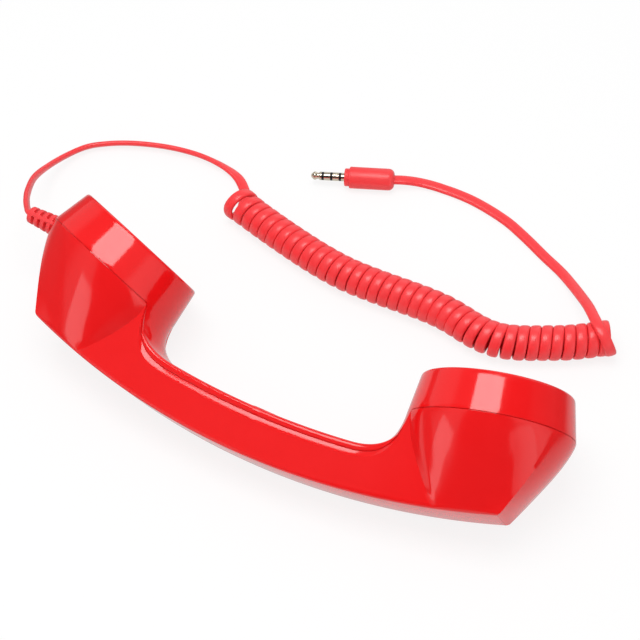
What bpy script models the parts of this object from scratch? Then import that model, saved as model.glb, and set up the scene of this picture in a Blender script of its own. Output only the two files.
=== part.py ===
# Telephone handset with a curly cord and a 3.5 mm plug, lying on its side.
# Lengths are in metres and +Z is up. The handset is drawn in its own axes and then laid down:
# X runs from the mouth cup to the ear cup, Y from the outer spine to the cups' mouths, Z across.
import bmesh
import bpy
from math import asin, atan2, cos, pi, radians, sin, sqrt
from mathutils import Matrix, Vector

# Handset shell
HALF_LENGTH = 0.110
CUP_RADIUS = 0.0308
RIM_RADIUS = 0.0280
COLLAR_HEIGHT = 0.0155
RIM_ROUND = 0.0008
CUP_HEIGHT = 0.0453
EAR_TILT = radians(14.5)
MOUTH_TILT = radians(18.4)
CORNER_ANGLE = radians(31.7)
SPINE_RADIUS = 0.292
SPINE_HALF_WIDTH = 0.0110
SPINE_ROUND = 0.0013
GRIP_DEPTH = 0.0181
GRIP_TOP_RADIUS = 0.320
GRIP_HALF_SPAN = 0.0380
STRIP_DEPTH = 0.0030
EDGE_ROUND = 0.0020
BAND_WIDTH = 0.0017
BAND_INSET = 0.0008
BAND_END = 0.0004
FOOT_INNER = 0.0755
FOOT_OUTER = 0.0980
CREASE_BOW = 0.0030
RIDGE_BOW = 0.0018
FRONT_BOW = 0.0012
END_BOW = 0.0022
WALL = 0.0022
GROOVE = 0.0004
FIT_GAP = 0.0003

# Caps in the two mouths
CAP_THICKNESS = 0.0022
CAP_RECESS = 0.0006
CAP_ROUND = 0.0004
POCKET_DEPTH = 0.0045
CAP_SKIRT_HEIGHT = 0.0040
CAP_SKIRT_WALL = 0.0012
LEDGE_WIDTH = 0.0016
LEDGE_THICKNESS = 0.0016
HOLE_RADIUS = 0.0010
HOLE_ROWS = 2
HOLE_PITCH = 0.0050

# Receiver behind the ear cap
RECEIVER_MARGIN = 0.0029
RECEIVER_DEPTH = 0.0045
RECEIVER_WALL = 0.0012
GASKET_THICKNESS = 0.0012
GASKET_WIDTH = 0.0025
MAGNET_SHARE = 0.4444
MAGNET_DEPTH = 0.0045
CONE_THICKNESS = 0.0005

# Microphone behind the mouth cap
MIC_RADIUS = 0.00485
MIC_DEPTH = 0.0045
BOOT_WALL = 0.0016
BOOT_FLOOR = 0.0012

# Screws that hold the two shells together, one pair in each cup
SCREW_MARGIN = 0.00045
POST_RADIUS = 0.0030
POST_HEIGHT = 0.0072
TAB_THICKNESS = 0.0020
SCREW_RADIUS = 0.0012
SCREW_HEAD_RADIUS = 0.0023
SCREW_HEAD_HEIGHT = 0.0016
SCREW_LENGTH = 0.0085

# Answer button on the inner face of the grip
BUTTON_LENGTH = 0.0120
BUTTON_WIDTH = 0.0064
BUTTON_RISE = 0.0010
BUTTON_TRAVEL = 0.0005
BUTTON_FLANGE = 0.0010
FLANGE_THICKNESS = 0.0010
SWITCH_SIZE = 0.0060
SWITCH_HEIGHT = 0.0034
PLUNGER_RADIUS = 0.0013
PLUNGER_RISE = 0.0010
BOARD_LENGTH = 0.0260
BOARD_WIDTH = 0.0110
BOARD_THICKNESS = 0.0010
BOARD_SCREW_SPACING = 0.0200
BOARD_POST_RADIUS = 0.0020
BOARD_SCREW_RADIUS = 0.0008
BOARD_SCREW_HEAD = 0.0015
BOARD_SCREW_LENGTH = 0.0040

# Steel ballast bar on the spine
BALLAST_PLACE = -0.0260
BALLAST_LENGTH = 0.0400
BALLAST_WIDTH = 0.0110
BALLAST_HEIGHT = 0.0030
RIB_THICKNESS = 0.0015
RIB_HEIGHT = 0.0012

# Strain relief at the mouth cup
RELIEF_DROP = 0.0020
RELIEF_WALL_REACH = 0.0044
RELIEF_TILT = radians(3.0)
RELIEF_LENGTH = 0.0146
RELIEF_BASE_RADIUS = 0.0036
RELIEF_TIP_RADIUS = 0.0027
RELIEF_NECK_RADIUS = 0.0028
RELIEF_FLANGE_RADIUS = 0.0044
RELIEF_FLANGE_THICKNESS = 0.0015
RELIEF_SLOTS = 6
RELIEF_PITCH = 0.0022
RELIEF_SLOT_WIDTH = 0.0010
RELIEF_WEB = 0.0011

# Cord: a flat cable, whose plain round solids have the same section area
CORD_RADIUS = 0.0014
COIL_RADIUS = 0.0069
CORD_STEP = 0.0050
COIL_STEP = 0.0110

# Plug
BARREL_RADIUS = 0.0045
BARREL_LENGTH = 0.0206
BARREL_NOSE_RADIUS = 0.0037
BARREL_NOSE_LENGTH = 0.0020
JACK_RADIUS = 0.00175
JACK_LENGTH = 0.0140
JACK_CORE_RADIUS = 0.0007
TIP_LENGTH = 0.0043
CONTACT_RING_LENGTH = 0.0025
SPACER_LENGTH = 0.0006
JACK_GAP = 0.0001
PLUG_REAR = (-0.0165, 0.1175)
PLUG_TIP = (-0.0475, 0.1048)

# Middle of the cord, along the surface it lies on
TAIL_ROUTE = ((-0.1325, 0.0247, 0.0272), (-0.1384, 0.0323, 0.0230), (-0.1445, 0.0439, 0.0160),
              (-0.1476, 0.0560, 0.0092), (-0.1471, 0.0683, 0.0040), (-0.1434, 0.0780, 0.0017),
              (-0.1371, 0.0834, 0.0017), (-0.1288, 0.0880, 0.0017), (-0.1185, 0.0919, 0.0017),
              (-0.1081, 0.0945, 0.0017), (-0.0971, 0.0957, 0.0017), (-0.0880, 0.0945, 0.0017),
              (-0.0810, 0.0900, 0.0025), (-0.0770, 0.0838, 0.0045))
COIL_ROUTE = ((-0.0661, 0.0759), (-0.0552, 0.0727), (-0.0391, 0.0686), (-0.0238, 0.0653),
              (-0.0094, 0.0634), (0.0041, 0.0629), (0.0172, 0.0628), (0.0238, 0.0642),
              (0.0335, 0.0633), (0.0437, 0.0604), (0.0529, 0.0596), (0.0605, 0.0616),
              (0.0679, 0.0644), (0.0748, 0.0679), (0.0818, 0.0714), (0.0883, 0.0759),
              (0.0928, 0.0792))
LEAD_ROUTE = ((0.1012, 0.0867, 0.0050), (0.1010, 0.0925, 0.0028), (0.0950, 0.0965, 0.0017),
              (0.0840, 0.0980, 0.0017), (0.0750, 0.0998, 0.0017), (0.0673, 0.1034, 0.0017),
              (0.0553, 0.1101, 0.0017), (0.0430, 0.1170, 0.0017), (0.0319, 0.1211, 0.0017),
              (0.0165, 0.1244, 0.0017), (0.0023, 0.1247, 0.0018), (-0.0066, 0.1228, 0.0030))

NECK_COLUMNS = 4
REST_COLUMNS = 14
RIDGE_COLUMN = 5
END_COLUMN = 15
LAST_COLUMN = NECK_COLUMNS + REST_COLUMNS
GRIP_STATIONS = 5
NECK_STATIONS = 6
LOFT_LEVELS = (0.0, 0.12, 0.25, 0.45, 0.65, 0.83, 0.95, 1.0)
ROUND_SIDES = 24
CAP_SIDES = 36
JACK_SIDES = 16

EAR = 1
MOUTH = -1
TILT = {EAR: EAR_TILT, MOUTH: MOUTH_TILT}

RED_GLOSS = ((0.78, 0.010, 0.012), 0.12, 0.0)
RED_SATIN = ((0.80, 0.030, 0.035), 0.40, 0.0)
BLACK_PLASTIC = ((0.02, 0.02, 0.02), 0.45, 0.0)
BLACK_RUBBER = ((0.03, 0.03, 0.03), 0.80, 0.0)
STEEL = ((0.55, 0.56, 0.58), 0.35, 1.0)
ALUMINIUM = ((0.80, 0.80, 0.82), 0.30, 1.0)
GOLD_PLATE = ((0.83, 0.72, 0.52), 0.20, 1.0)
FOAM = ((0.05, 0.05, 0.05), 0.95, 0.0)
PAPER_CONE = ((0.12, 0.12, 0.13), 0.80, 0.0)
BOARD_GREEN = ((0.02, 0.20, 0.07), 0.50, 0.0)


# Small builders

def material(name, finish):
    colour, roughness, metallic = finish
    result = bpy.data.materials.new(name)
    result.use_nodes = True
    shader = result.node_tree.nodes["Principled BSDF"]
    shader.inputs["Base Color"].default_value = (*colour, 1.0)
    shader.inputs["Roughness"].default_value = roughness
    shader.inputs["Metallic"].default_value = metallic
    return result


def axes(name, parent, matrix):
    empty = bpy.data.objects.new(name, None)
    bpy.context.collection.objects.link(empty)
    empty.empty_display_size = 0.01
    empty.parent = parent
    empty.matrix_local = matrix
    return empty


def mesh_object(name, shape, parent, finish=None):
    points, faces = shape
    mesh = bpy.data.meshes.new(name)
    solid = bmesh.new()
    corners = [solid.verts.new(point) for point in points]
    for face in faces:
        ring = [corners[index] for index in face]
        if len(set(ring)) > 2:
            solid.faces.new(ring)
    bmesh.ops.remove_doubles(solid, verts=solid.verts, dist=2e-6)
    bmesh.ops.dissolve_degenerate(solid, dist=2e-6, edges=solid.edges)
    bmesh.ops.recalc_face_normals(solid, faces=solid.faces)
    solid.to_mesh(mesh)
    solid.free()
    mesh.shade_smooth()
    mesh.set_sharp_from_angle(angle=radians(32))
    result = bpy.data.objects.new(name, mesh)
    bpy.context.collection.objects.link(result)
    result.parent = parent
    if finish:
        mesh.materials.append(material(name, finish))
    return result


def turned(profile, sides=ROUND_SIDES, along_x=False, star=()):
    # A closed profile of (radius, height) pairs, turned about Z, or about X. Rows named in star
    # get four points, for a cross recess.
    points = []
    for row, (radius, height) in enumerate(profile):
        for step in range(sides):
            angle = 2 * pi * step / sides
            reach = radius
            if row in star and (step * 8 // sides) % 2:
                reach = radius * 0.45
            x, y = reach * cos(angle), reach * sin(angle)
            points.append((height, x, y) if along_x else (x, y, height))
    faces = []
    count = len(profile)
    for row in range(count):
        after = (row + 1) % count
        if profile[row][0] == 0 and profile[after][0] == 0:
            continue
        for step in range(sides):
            turn = (step + 1) % sides
            faces.append((row * sides + step, row * sides + turn,
                          after * sides + turn, after * sides + step))
    return points, faces


def prism(outline, low, high):
    # An outline in local X and Y, raised from low to high along Z.
    count = len(outline)
    points = [(x, y, low) for x, y in outline] + [(x, y, high) for x, y in outline]
    faces = [tuple(range(count)), tuple(range(count, 2 * count))]
    for index in range(count):
        after = (index + 1) % count
        faces.append((index, after, count + after, count + index))
    return points, faces


def pin(radius, low, high, x=0.0, y=0.0, sides=16):
    ring = [(x + radius * cos(2 * pi * step / sides), y + radius * sin(2 * pi * step / sides))
            for step in range(sides)]
    return prism(ring, low, high)


def rectangle(length, width, x=0.0, y=0.0):
    return [(x - length / 2, y - width / 2), (x + length / 2, y - width / 2),
            (x + length / 2, y + width / 2), (x - length / 2, y + width / 2)]


def stadium(length, width, steps=6):
    # A rectangle along X with round ends.
    radius = width / 2
    outline = []
    for side in (1, -1):
        for step in range(steps + 1):
            angle = pi * step / steps - side * pi / 2
            outline.append((side * (length / 2 - radius) + radius * cos(angle), radius * sin(angle)))
    return outline


def placed(shape, matrix):
    points, faces = shape
    return [tuple(matrix @ Vector(point)) for point in points], faces


def together(*shapes):
    points = []
    faces = []
    for more_points, more_faces in shapes:
        shift = len(points)
        points += more_points
        faces += [tuple(index + shift for index in face) for face in more_faces]
    return points, faces


def combine(target, tool, operation):
    tool.hide_render = True
    tool.display_type = "WIRE"
    change = target.modifiers.new(tool.name, "BOOLEAN")
    change.object = tool
    change.operation = operation
    change.solver = "EXACT"


def smooth_route(route, spacing):
    # A smooth curve through the inner stops, at an even spacing; the end pieces stay straight.
    stops = [Vector(stop) for stop in route]
    dense = []
    for before, start, end, after in zip(stops, stops[1:], stops[2:], stops[3:]):
        for step in range(20):
            share = step / 20
            dense.append(0.5 * (start * 2 + (end - before) * share
                                + (before * 2 - start * 5 + end * 4 - after) * share ** 2
                                + (start * 3 - before - end * 3 + after) * share ** 3))
    dense.append(stops[-2])
    lengths = [0.0]
    for start, end in zip(dense, dense[1:]):
        lengths.append(lengths[-1] + (end - start).length)
    count = max(2, round(lengths[-1] / spacing))
    points = [stops[0]]
    index = 0
    for step in range(count + 1):
        target = lengths[-1] * step / count
        while index < len(dense) - 2 and lengths[index + 1] < target:
            index += 1
        span = lengths[index + 1] - lengths[index]
        points.append(dense[index].lerp(dense[index + 1], (target - lengths[index]) / span))
    return points + [stops[-1]]


def tube(name, route, radius, spacing, roundness, finish):
    curve = bpy.data.curves.new(name, "CURVE")
    curve.dimensions = "3D"
    curve.bevel_depth = radius
    curve.bevel_resolution = roundness
    curve.use_fill_caps = True
    points = smooth_route(route, spacing)
    line = curve.splines.new("POLY")
    line.points.add(len(points) - 1)
    for knot, point in zip(line.points, points):
        knot.co = (*point, 1.0)
    line.use_smooth = True
    curve.materials.append(material(name, finish))
    result = bpy.data.objects.new(name, curve)
    bpy.context.collection.objects.link(result)
    return result


# The shell's surfaces, each with an inward offset for the inner face of the wall

def spine_height(x):
    return SPINE_RADIUS - sqrt(SPINE_RADIUS ** 2 - x ** 2)


def grip_top(x):
    return GRIP_DEPTH + GRIP_TOP_RADIUS - sqrt(GRIP_TOP_RADIUS ** 2 - x ** 2)


def cup_centre(side):
    return Vector((side * (HALF_LENGTH - CUP_RADIUS * cos(TILT[side])), CUP_HEIGHT, 0))


def cup_axis(side):
    return Vector((-side * sin(TILT[side]), cos(TILT[side]), 0))


def cup_outward(side):
    return Vector((side * cos(TILT[side]), sin(TILT[side]), 0))


def ring_point(side, column, height, inset):
    # Columns count round the cup from its inner side, where the grip joins it.
    turn = abs(column)
    if turn <= NECK_COLUMNS:
        angle = CORNER_ANGLE * turn / NECK_COLUMNS
    else:
        angle = CORNER_ANGLE + (pi - CORNER_ANGLE) * (turn - NECK_COLUMNS) / REST_COLUMNS
    share = max(height, 0.0) / COLLAR_HEIGHT
    radius = CUP_RADIUS + (RIM_RADIUS - CUP_RADIUS) * share - inset
    across = sin(angle) * (1 if column >= 0 else -1)
    return (cup_centre(side) + cup_axis(side) * height - cup_outward(side) * radius * cos(angle)
            + Vector((0, 0, radius * across)))


def side_slope(side):
    corner = ring_point(side, NECK_COLUMNS, 0, 0)
    return (corner.z - SPINE_HALF_WIDTH) / (corner.y - spine_height(corner.x))


def side_width(x, y, inset):
    side = EAR if x > 0 else MOUTH
    return SPINE_HALF_WIDTH + side_slope(side) * (y - spine_height(x)) - inset


def bezier(start, first, second, end, share):
    rest = 1 - share
    return (start * rest ** 3 + first * 3 * rest ** 2 * share
            + second * 3 * rest * share ** 2 + end * share ** 3)


def neck_curve(side, column, share, inset):
    # From the mid grip's end up to the collar, tangent to both.
    top = ring_point(side, column, GROOVE / 2, inset)
    lean = (ring_point(side, column, COLLAR_HEIGHT, inset) - top).normalized()
    foot_x = side * GRIP_HALF_SPAN
    foot = Vector((foot_x, grip_top(foot_x) - inset, 0))
    slope = GRIP_HALF_SPAN / sqrt(GRIP_TOP_RADIUS ** 2 - GRIP_HALF_SPAN ** 2)
    along = Vector((side, slope, 0)).normalized()
    top_flat = Vector((top.x, top.y, 0))
    reach = (top_flat - foot).length * 0.45
    lean_flat = Vector((lean.x, lean.y, 0))
    return bezier(foot, foot + along * reach, top_flat - lean_flat * reach, top_flat, share)


def parting_curve(side, share):
    # The seam's path beside the neck, from the mid grip's end up to the cup's corner.
    corner = ring_point(side, NECK_COLUMNS, 0, 0)
    start_x = side * GRIP_HALF_SPAN
    start = Vector((start_x, grip_top(start_x) - STRIP_DEPTH, 0))
    end = Vector((corner.x, corner.y, 0))
    slope = GRIP_HALF_SPAN / sqrt(GRIP_TOP_RADIUS ** 2 - GRIP_HALF_SPAN ** 2)
    along = Vector((side, slope, 0)).normalized()
    reach = (end - start).length * 0.45
    rise = Vector((side * 0.06, 1, 0)).normalized()
    return bezier(start, start + along * reach * 1.15, end - rise * reach, end, share)


def stations():
    # Places along the handset: (side, share along the neck, x on the grip).
    result = []
    for index in range(NECK_STATIONS, 0, -1):
        result.append((MOUTH, index / NECK_STATIONS, None))
    for index in range(-GRIP_STATIONS + 1, GRIP_STATIONS):
        side = EAR if index >= 0 else MOUTH
        result.append((side, 0.0, GRIP_HALF_SPAN * index / (GRIP_STATIONS - 1)))
    for index in range(1, NECK_STATIONS + 1):
        result.append((EAR, index / NECK_STATIONS, None))
    return result


def seam_point(side, share, x):
    if x is not None:
        return Vector((x, grip_top(x) - STRIP_DEPTH, 0))
    return parting_curve(side, share)


def spine_place(side, share, x):
    place = x if x is not None else side * (GRIP_HALF_SPAN + (FOOT_INNER - GRIP_HALF_SPAN) * share)
    return Vector((place, spine_height(place), 0))


def seam_gap(side, share, x):
    # Half of the groove, pointing from the seam to the spine.
    down = spine_place(side, share, x) - seam_point(side, share, x)
    return down.normalized() * GROOVE / 2


def grip_point(side, column, share, x, inset):
    if x is None:
        return neck_curve(side, column, share, inset)
    return Vector((x, grip_top(x) - inset, 0))


def front_section(side, share, x, inset):
    # Points of the front shell from one seam edge over the inner face to the other.
    fade = 1 - share ** 3
    seam = seam_point(side, share, x)
    room = (grip_point(side, NECK_COLUMNS, share, x, 0) - seam).length - GROOVE
    edge_inset = inset if share == 1 else min(inset, max(0.0, room * 0.6))
    columns = []
    for column in range(NECK_COLUMNS + 1):
        mix = column / NECK_COLUMNS
        depth = inset * (1 - mix) + edge_inset * mix
        columns.append(grip_point(side, column, share, x, depth))
    edge = columns[-1]
    edge_width = side_width(edge.x, edge.y, inset) - BAND_INSET * fade
    for column, place in enumerate(columns):
        angle = CORNER_ANGLE * column / NECK_COLUMNS
        place.z = edge_width * sin(angle) / sin(CORNER_ANGLE)
    edge = columns.pop()
    if share == 1:
        tip = ring_point(side, NECK_COLUMNS, GROOVE / 2, inset)
        rounded = [tip, tip, tip, tip]
    else:
        seam = seam - seam_gap(side, share, x)
        seam.z = side_width(seam.x, seam.y, inset) - BAND_INSET * fade
        near = columns[-1]
        drop = seam - edge
        reach = min(EDGE_ROUND * fade, drop.length * 0.7)
        start = edge + (near - edge).normalized() * reach
        stop = edge + drop.normalized() * reach
        rounded = [start, (start + edge * 2 + stop) / 4, stop, seam]
    positive = columns + rounded
    negative = [Vector((point.x, point.y, -point.z)) for point in reversed(positive[1:])]
    return negative + positive


def front_skin(inset):
    points = []
    faces = []

    def add(point):
        points.append(point)
        return len(points) - 1

    sections = []
    for side, share, x in stations():
        sections.append([add(point) for point in front_section(side, share, x, inset)])
    for first, second in zip(sections, sections[1:]):
        for index in range(len(first) - 1):
            faces.append((first[index], first[index + 1], second[index + 1], second[index]))
    for side in (EAR, MOUTH):
        section = sections[-1] if side == EAR else sections[0]
        middle = len(section) // 2
        lower = {}
        for column in range(-LAST_COLUMN + 1, LAST_COLUMN + 1):
            if abs(column) < NECK_COLUMNS:
                lower[column] = section[middle + column]
            elif abs(column) == NECK_COLUMNS:
                lower[column] = section[middle + (NECK_COLUMNS if column > 0 else -NECK_COLUMNS)]
            else:
                lower[column] = add(ring_point(side, column, GROOVE / 2, inset))
        rim = RIM_ROUND * (1 if inset == 0 else -1)
        for height, edge in ((COLLAR_HEIGHT / 2, 0.0), (COLLAR_HEIGHT - RIM_ROUND, 0.0),
                             (COLLAR_HEIGHT, rim)):
            upper = {}
            for column in lower:
                upper[column] = add(ring_point(side, column, height, inset + edge))
            for column in lower:
                after = column + 1 if column < LAST_COLUMN else -LAST_COLUMN + 1
                faces.append((lower[column], lower[after], upper[after], upper[column]))
            lower = upper
    return points, faces


def bow(amount, share):
    return amount * sin(pi * share ** 0.75)


def softened(side, share, place, inset):
    # The last two levels cut the spine's edge off at an angle.
    if share < 1:
        return place
    return Vector((place.x, place.y, max(0.0, abs(place.z) - SPINE_ROUND * 0.8) * (1 if place.z > 0 else -1)))


def crease_point(side, share):
    # Where the cup's body meets the flat side of the grip.
    corner = ring_point(side, NECK_COLUMNS, -GROOVE / 2, 0)
    foot = spine_place(side, 1, None)
    place = Vector((corner.x, corner.y, 0)).lerp(foot, share)
    place.x -= side * bow(CREASE_BOW, share)
    return place


def wall_level(side, column, share, inset):
    # A point of the cup's back wall: from the seam ring down to the edge of its foot.
    turn = abs(column)
    flip = 1 if column >= 0 else -1
    top = ring_point(side, column, -GROOVE / 2, inset)
    if share == 0:
        return top
    if turn == NECK_COLUMNS:
        place = crease_point(side, share)
        width = side_width(place.x, place.y, inset)
        place = Vector((place.x + side * inset * 0.3 * share, place.y + inset * share, flip * width))
        return softened(side, share, place, inset)
    inner = FOOT_INNER + SPINE_ROUND + inset * 0.6
    outer = FOOT_OUTER - inset
    if turn <= END_COLUMN:
        along = (turn - RIDGE_COLUMN) / (END_COLUMN - RIDGE_COLUMN)
        foot_x = inner + (outer - inner) * along
        foot_z = SPINE_HALF_WIDTH - inset
        swell = RIDGE_BOW + (FRONT_BOW - RIDGE_BOW) * min(1, along * 4)
        swell += (END_BOW - FRONT_BOW) * max(0, along * 4 - 3)
    else:
        along = (turn - END_COLUMN) / (LAST_COLUMN - END_COLUMN)
        foot_x = outer
        foot_z = (SPINE_HALF_WIDTH - inset) * (1 - along)
        swell = END_BOW
    foot = Vector((side * foot_x, spine_height(foot_x) + inset, flip * foot_z))
    outward = (top - cup_centre(side)).normalized()
    place = top.lerp(foot, share) + outward * bow(swell, share)
    if share == 1 and turn >= END_COLUMN:
        place.x -= side * SPINE_ROUND * 0.8
    return softened(side, share, place, inset)


def back_skin(inset):
    points = []
    faces = []

    def add(point):
        points.append(point)
        return len(points) - 1

    places = stations()
    last = len(places) - 1
    grids = {1: [], -1: []}
    for index, (side, share, x) in enumerate(places):
        seam = seam_point(side, share, x)
        gap = seam_gap(side, share, x)
        base = spine_place(side, share, x)
        fade = 1 - share ** 3
        for flip in (1, -1):
            column = []
            for level in LOFT_LEVELS:
                if index in (0, last):
                    column.append(add(wall_level(side, flip * NECK_COLUMNS, level, inset)))
                    continue
                place = seam.lerp(base, level)
                place.x -= side * bow(CREASE_BOW, level) * (share ** 2 if x is None else 0)
                if level == 0:
                    place = seam + gap
                elif level == LOFT_LEVELS[1]:
                    place = seam + gap + gap.normalized() * (BAND_WIDTH * fade + BAND_END * (1 - fade))
                width = side_width(place.x, place.y, inset) - (BAND_INSET * fade if level == 0 else 0)
                place = Vector((place.x, place.y + inset * level, flip * width))
                column.append(add(softened(side, level, place, inset)))
            grids[flip].append(column)
    rows = len(LOFT_LEVELS) - 1
    for flip in (1, -1):
        for first, second in zip(grids[flip], grids[flip][1:]):
            for row in range(rows):
                faces.append((first[row], first[row + 1], second[row + 1], second[row]))
    for first in range(last):
        left, right = grids[1], grids[-1]
        faces.append((left[first][-1], right[first][-1], right[first + 1][-1], left[first + 1][-1]))
    for side in (EAR, MOUTH):
        grid = {}
        for column in range(-LAST_COLUMN + 1, LAST_COLUMN + 1):
            if abs(column) == NECK_COLUMNS:
                grid[column] = grids[1 if column > 0 else -1][last if side == EAR else 0]
            elif abs(column) > NECK_COLUMNS:
                grid[column] = [add(wall_level(side, column, level, inset)) for level in LOFT_LEVELS]
        for column in grid:
            after = column + 1 if column < LAST_COLUMN else -LAST_COLUMN + 1
            if after not in grid:
                continue
            for row in range(rows):
                faces.append((grid[column][row], grid[after][row], grid[after][row + 1],
                              grid[column][row + 1]))
        for column in range(NECK_COLUMNS, END_COLUMN - 1):
            faces.append((grid[column][-1], grid[-column][-1],
                          grid[-column - 1][-1], grid[column + 1][-1]))
        end = [grid[column][-1] for column in range(END_COLUMN - 1, LAST_COLUMN + 1)]
        end += [grid[column][-1] for column in range(-LAST_COLUMN + 1, -END_COLUMN + 2)]
        faces.append(tuple(end))
    return points, faces


def thick_shell(skin):
    # Two matching skins, joined along their open edges, make a wall.
    outer, faces = skin(0.0)
    inner, _ = skin(WALL)
    count = len(outer)
    edges = {}
    for face in faces:
        for start, end in zip(face, face[1:] + face[:1]):
            key = (min(start, end), max(start, end))
            edges[key] = edges.get(key, 0) + 1
    rim = [key for key, uses in edges.items() if uses == 1]
    walls = [(start, end, end + count, start + count) for start, end in rim]
    inside = [tuple(index + count for index in reversed(face)) for face in faces]
    return outer + inner, faces + inside + walls


# Frames of the cups, the strain relief, the ballast and the plug, seen from the handset's axes

def cup_frame(side):
    out, axis = cup_outward(side), cup_axis(side)
    matrix = Matrix((out, axis.cross(out), axis)).transposed().to_4x4()
    matrix.translation = cup_centre(side)
    return matrix


def grip_frame(x, y, lean=0.0):
    # Local X runs along the handset and local Z towards the inner face.
    along = Vector((cos(lean), sin(lean), 0))
    up = Vector((-sin(lean), cos(lean), 0))
    matrix = Matrix((along, up.cross(along), up)).transposed().to_4x4()
    matrix.translation = Vector((x, y, 0))
    return matrix


def relief_frame():
    out = Vector((-cos(RELIEF_TILT), sin(RELIEF_TILT), 0))
    across = Vector((0, 0, 1))
    matrix = Matrix((out, across.cross(out), across)).transposed().to_4x4()
    seam = cup_centre(MOUTH) + cup_outward(MOUTH) * CUP_RADIUS
    matrix.translation = Vector((seam.x, seam.y - RELIEF_DROP, 0))
    return matrix


# The pieces

def cap_level():
    return COLLAR_HEIGHT - CAP_RECESS


def cap_radius():
    return RIM_RADIUS - WALL - FIT_GAP


def collar_radius(height):
    # Outer radius of the collar at a height above the seam.
    return CUP_RADIUS + (RIM_RADIUS - CUP_RADIUS) * height / COLLAR_HEIGHT


def skirt_radius():
    return cap_radius() - LEDGE_WIDTH - FIT_GAP


def receiver_radius():
    # The receiver sits in a pocket of the cap, inside the cap's skirt.
    return skirt_radius() - 2 * CAP_SKIRT_WALL - FIT_GAP - RECEIVER_MARGIN


def magnet_radius():
    return receiver_radius() * MAGNET_SHARE


def screw_tab_top():
    return GROOVE / 2 + TAB_THICKNESS


def screw_offset():
    # The posts stand against the flat sides, which close in below the seam.
    side = CUP_RADIUS - (CUP_RADIUS - SPINE_HALF_WIDTH) * POST_HEIGHT / CUP_HEIGHT
    return side - POST_RADIUS - SCREW_MARGIN


def make_front_shell(frames):
    shell = mesh_object("front_shell", thick_shell(front_skin), frames["handset"], RED_GLOSS)
    under_cap = cap_level() - CAP_THICKNESS - FIT_GAP
    inner = cap_radius() - LEDGE_WIDTH
    low = under_cap - LEDGE_THICKNESS
    ledge = turned([(inner, under_cap), (collar_radius(under_cap) - WALL / 2, under_cap),
                    (collar_radius(low) - WALL / 2, low), (inner + LEDGE_WIDTH / 2, low)], CAP_SIDES)
    added = []
    holes = []
    for side in (EAR, MOUTH):
        frame = cup_frame(side)
        added.append(placed(ledge, frame))
        for turn in (1, -1):
            start = screw_offset() - POST_RADIUS
            stop = collar_radius(screw_tab_top()) - WALL * 0.4
            tab = rectangle(2 * POST_RADIUS, stop - start, 0, turn * (start + stop) / 2)
            added.append(placed(prism(tab, GROOVE, screw_tab_top()), frame))
            holes.append(placed(pin(SCREW_RADIUS + FIT_GAP, -GROOVE, screw_tab_top() + WALL,
                                    0, turn * screw_offset()), frame))
    inside = grip_frame(0, GRIP_DEPTH - WALL)
    for turn in (1, -1):
        place = turn * BOARD_SCREW_SPACING / 2
        added.append(placed(pin(BOARD_POST_RADIUS, board_top() + FIT_GAP, WALL * 0.4, place), inside))
        holes.append(placed(pin(BOARD_SCREW_RADIUS + 0.0001, board_top() - WALL,
                                board_top() + BOARD_SCREW_LENGTH, place), inside))
    slot = stadium(BUTTON_LENGTH + 2 * FIT_GAP, BUTTON_WIDTH + 2 * FIT_GAP)
    holes.append(placed(prism(slot, -WALL * 0.5, WALL * 1.5), inside))
    exit_hole = turned([(0, -0.008), (RELIEF_NECK_RADIUS + FIT_GAP, -0.008),
                        (RELIEF_NECK_RADIUS + FIT_GAP, 0.004), (0, 0.004)], 24, along_x=True)
    combine(shell, mesh_object("front_bosses", together(*added), frames["handset"]), "UNION")
    combine(shell, mesh_object("front_holes", together(*holes), frames["handset"]), "DIFFERENCE")
    relief_hole = mesh_object("relief_hole", placed(exit_hole, relief_frame()), frames["handset"])
    combine(shell, relief_hole, "DIFFERENCE")
    return shell, relief_hole


def make_back_shell(frames, relief_hole):
    shell = mesh_object("back_shell", thick_shell(back_skin), frames["handset"], RED_GLOSS)
    added = []
    holes = []
    for side in (EAR, MOUTH):
        frame = cup_frame(side)
        for turn in (1, -1):
            place = turn * screw_offset()
            added.append(placed(pin(POST_RADIUS, -POST_HEIGHT, -GROOVE, 0, place), frame))
            holes.append(placed(pin(SCREW_RADIUS + 0.0001, -POST_HEIGHT * 0.94, GROOVE, 0, place),
                                frame))
    floor = ballast_frame()
    for turn in (1, -1):
        rib = rectangle(RIB_THICKNESS, BALLAST_WIDTH, turn * BALLAST_LENGTH * 0.3)
        added.append(placed(prism(rib, -WALL * 0.4, RIB_HEIGHT), floor))
    combine(shell, mesh_object("back_bosses", together(*added), frames["handset"]), "UNION")
    combine(shell, mesh_object("back_holes", together(*holes), frames["handset"]), "DIFFERENCE")
    combine(shell, relief_hole, "DIFFERENCE")
    return shell


def ballast_frame():
    lean = asin(BALLAST_PLACE / SPINE_RADIUS)
    return grip_frame(BALLAST_PLACE - sin(lean) * WALL, spine_height(BALLAST_PLACE) + cos(lean) * WALL,
                      lean)


def board_top():
    # Depth of the board's face under the grip's inner wall.
    return -(FIT_GAP * 4 + FLANGE_THICKNESS + PLUNGER_RISE + SWITCH_HEIGHT - FIT_GAP)


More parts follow.
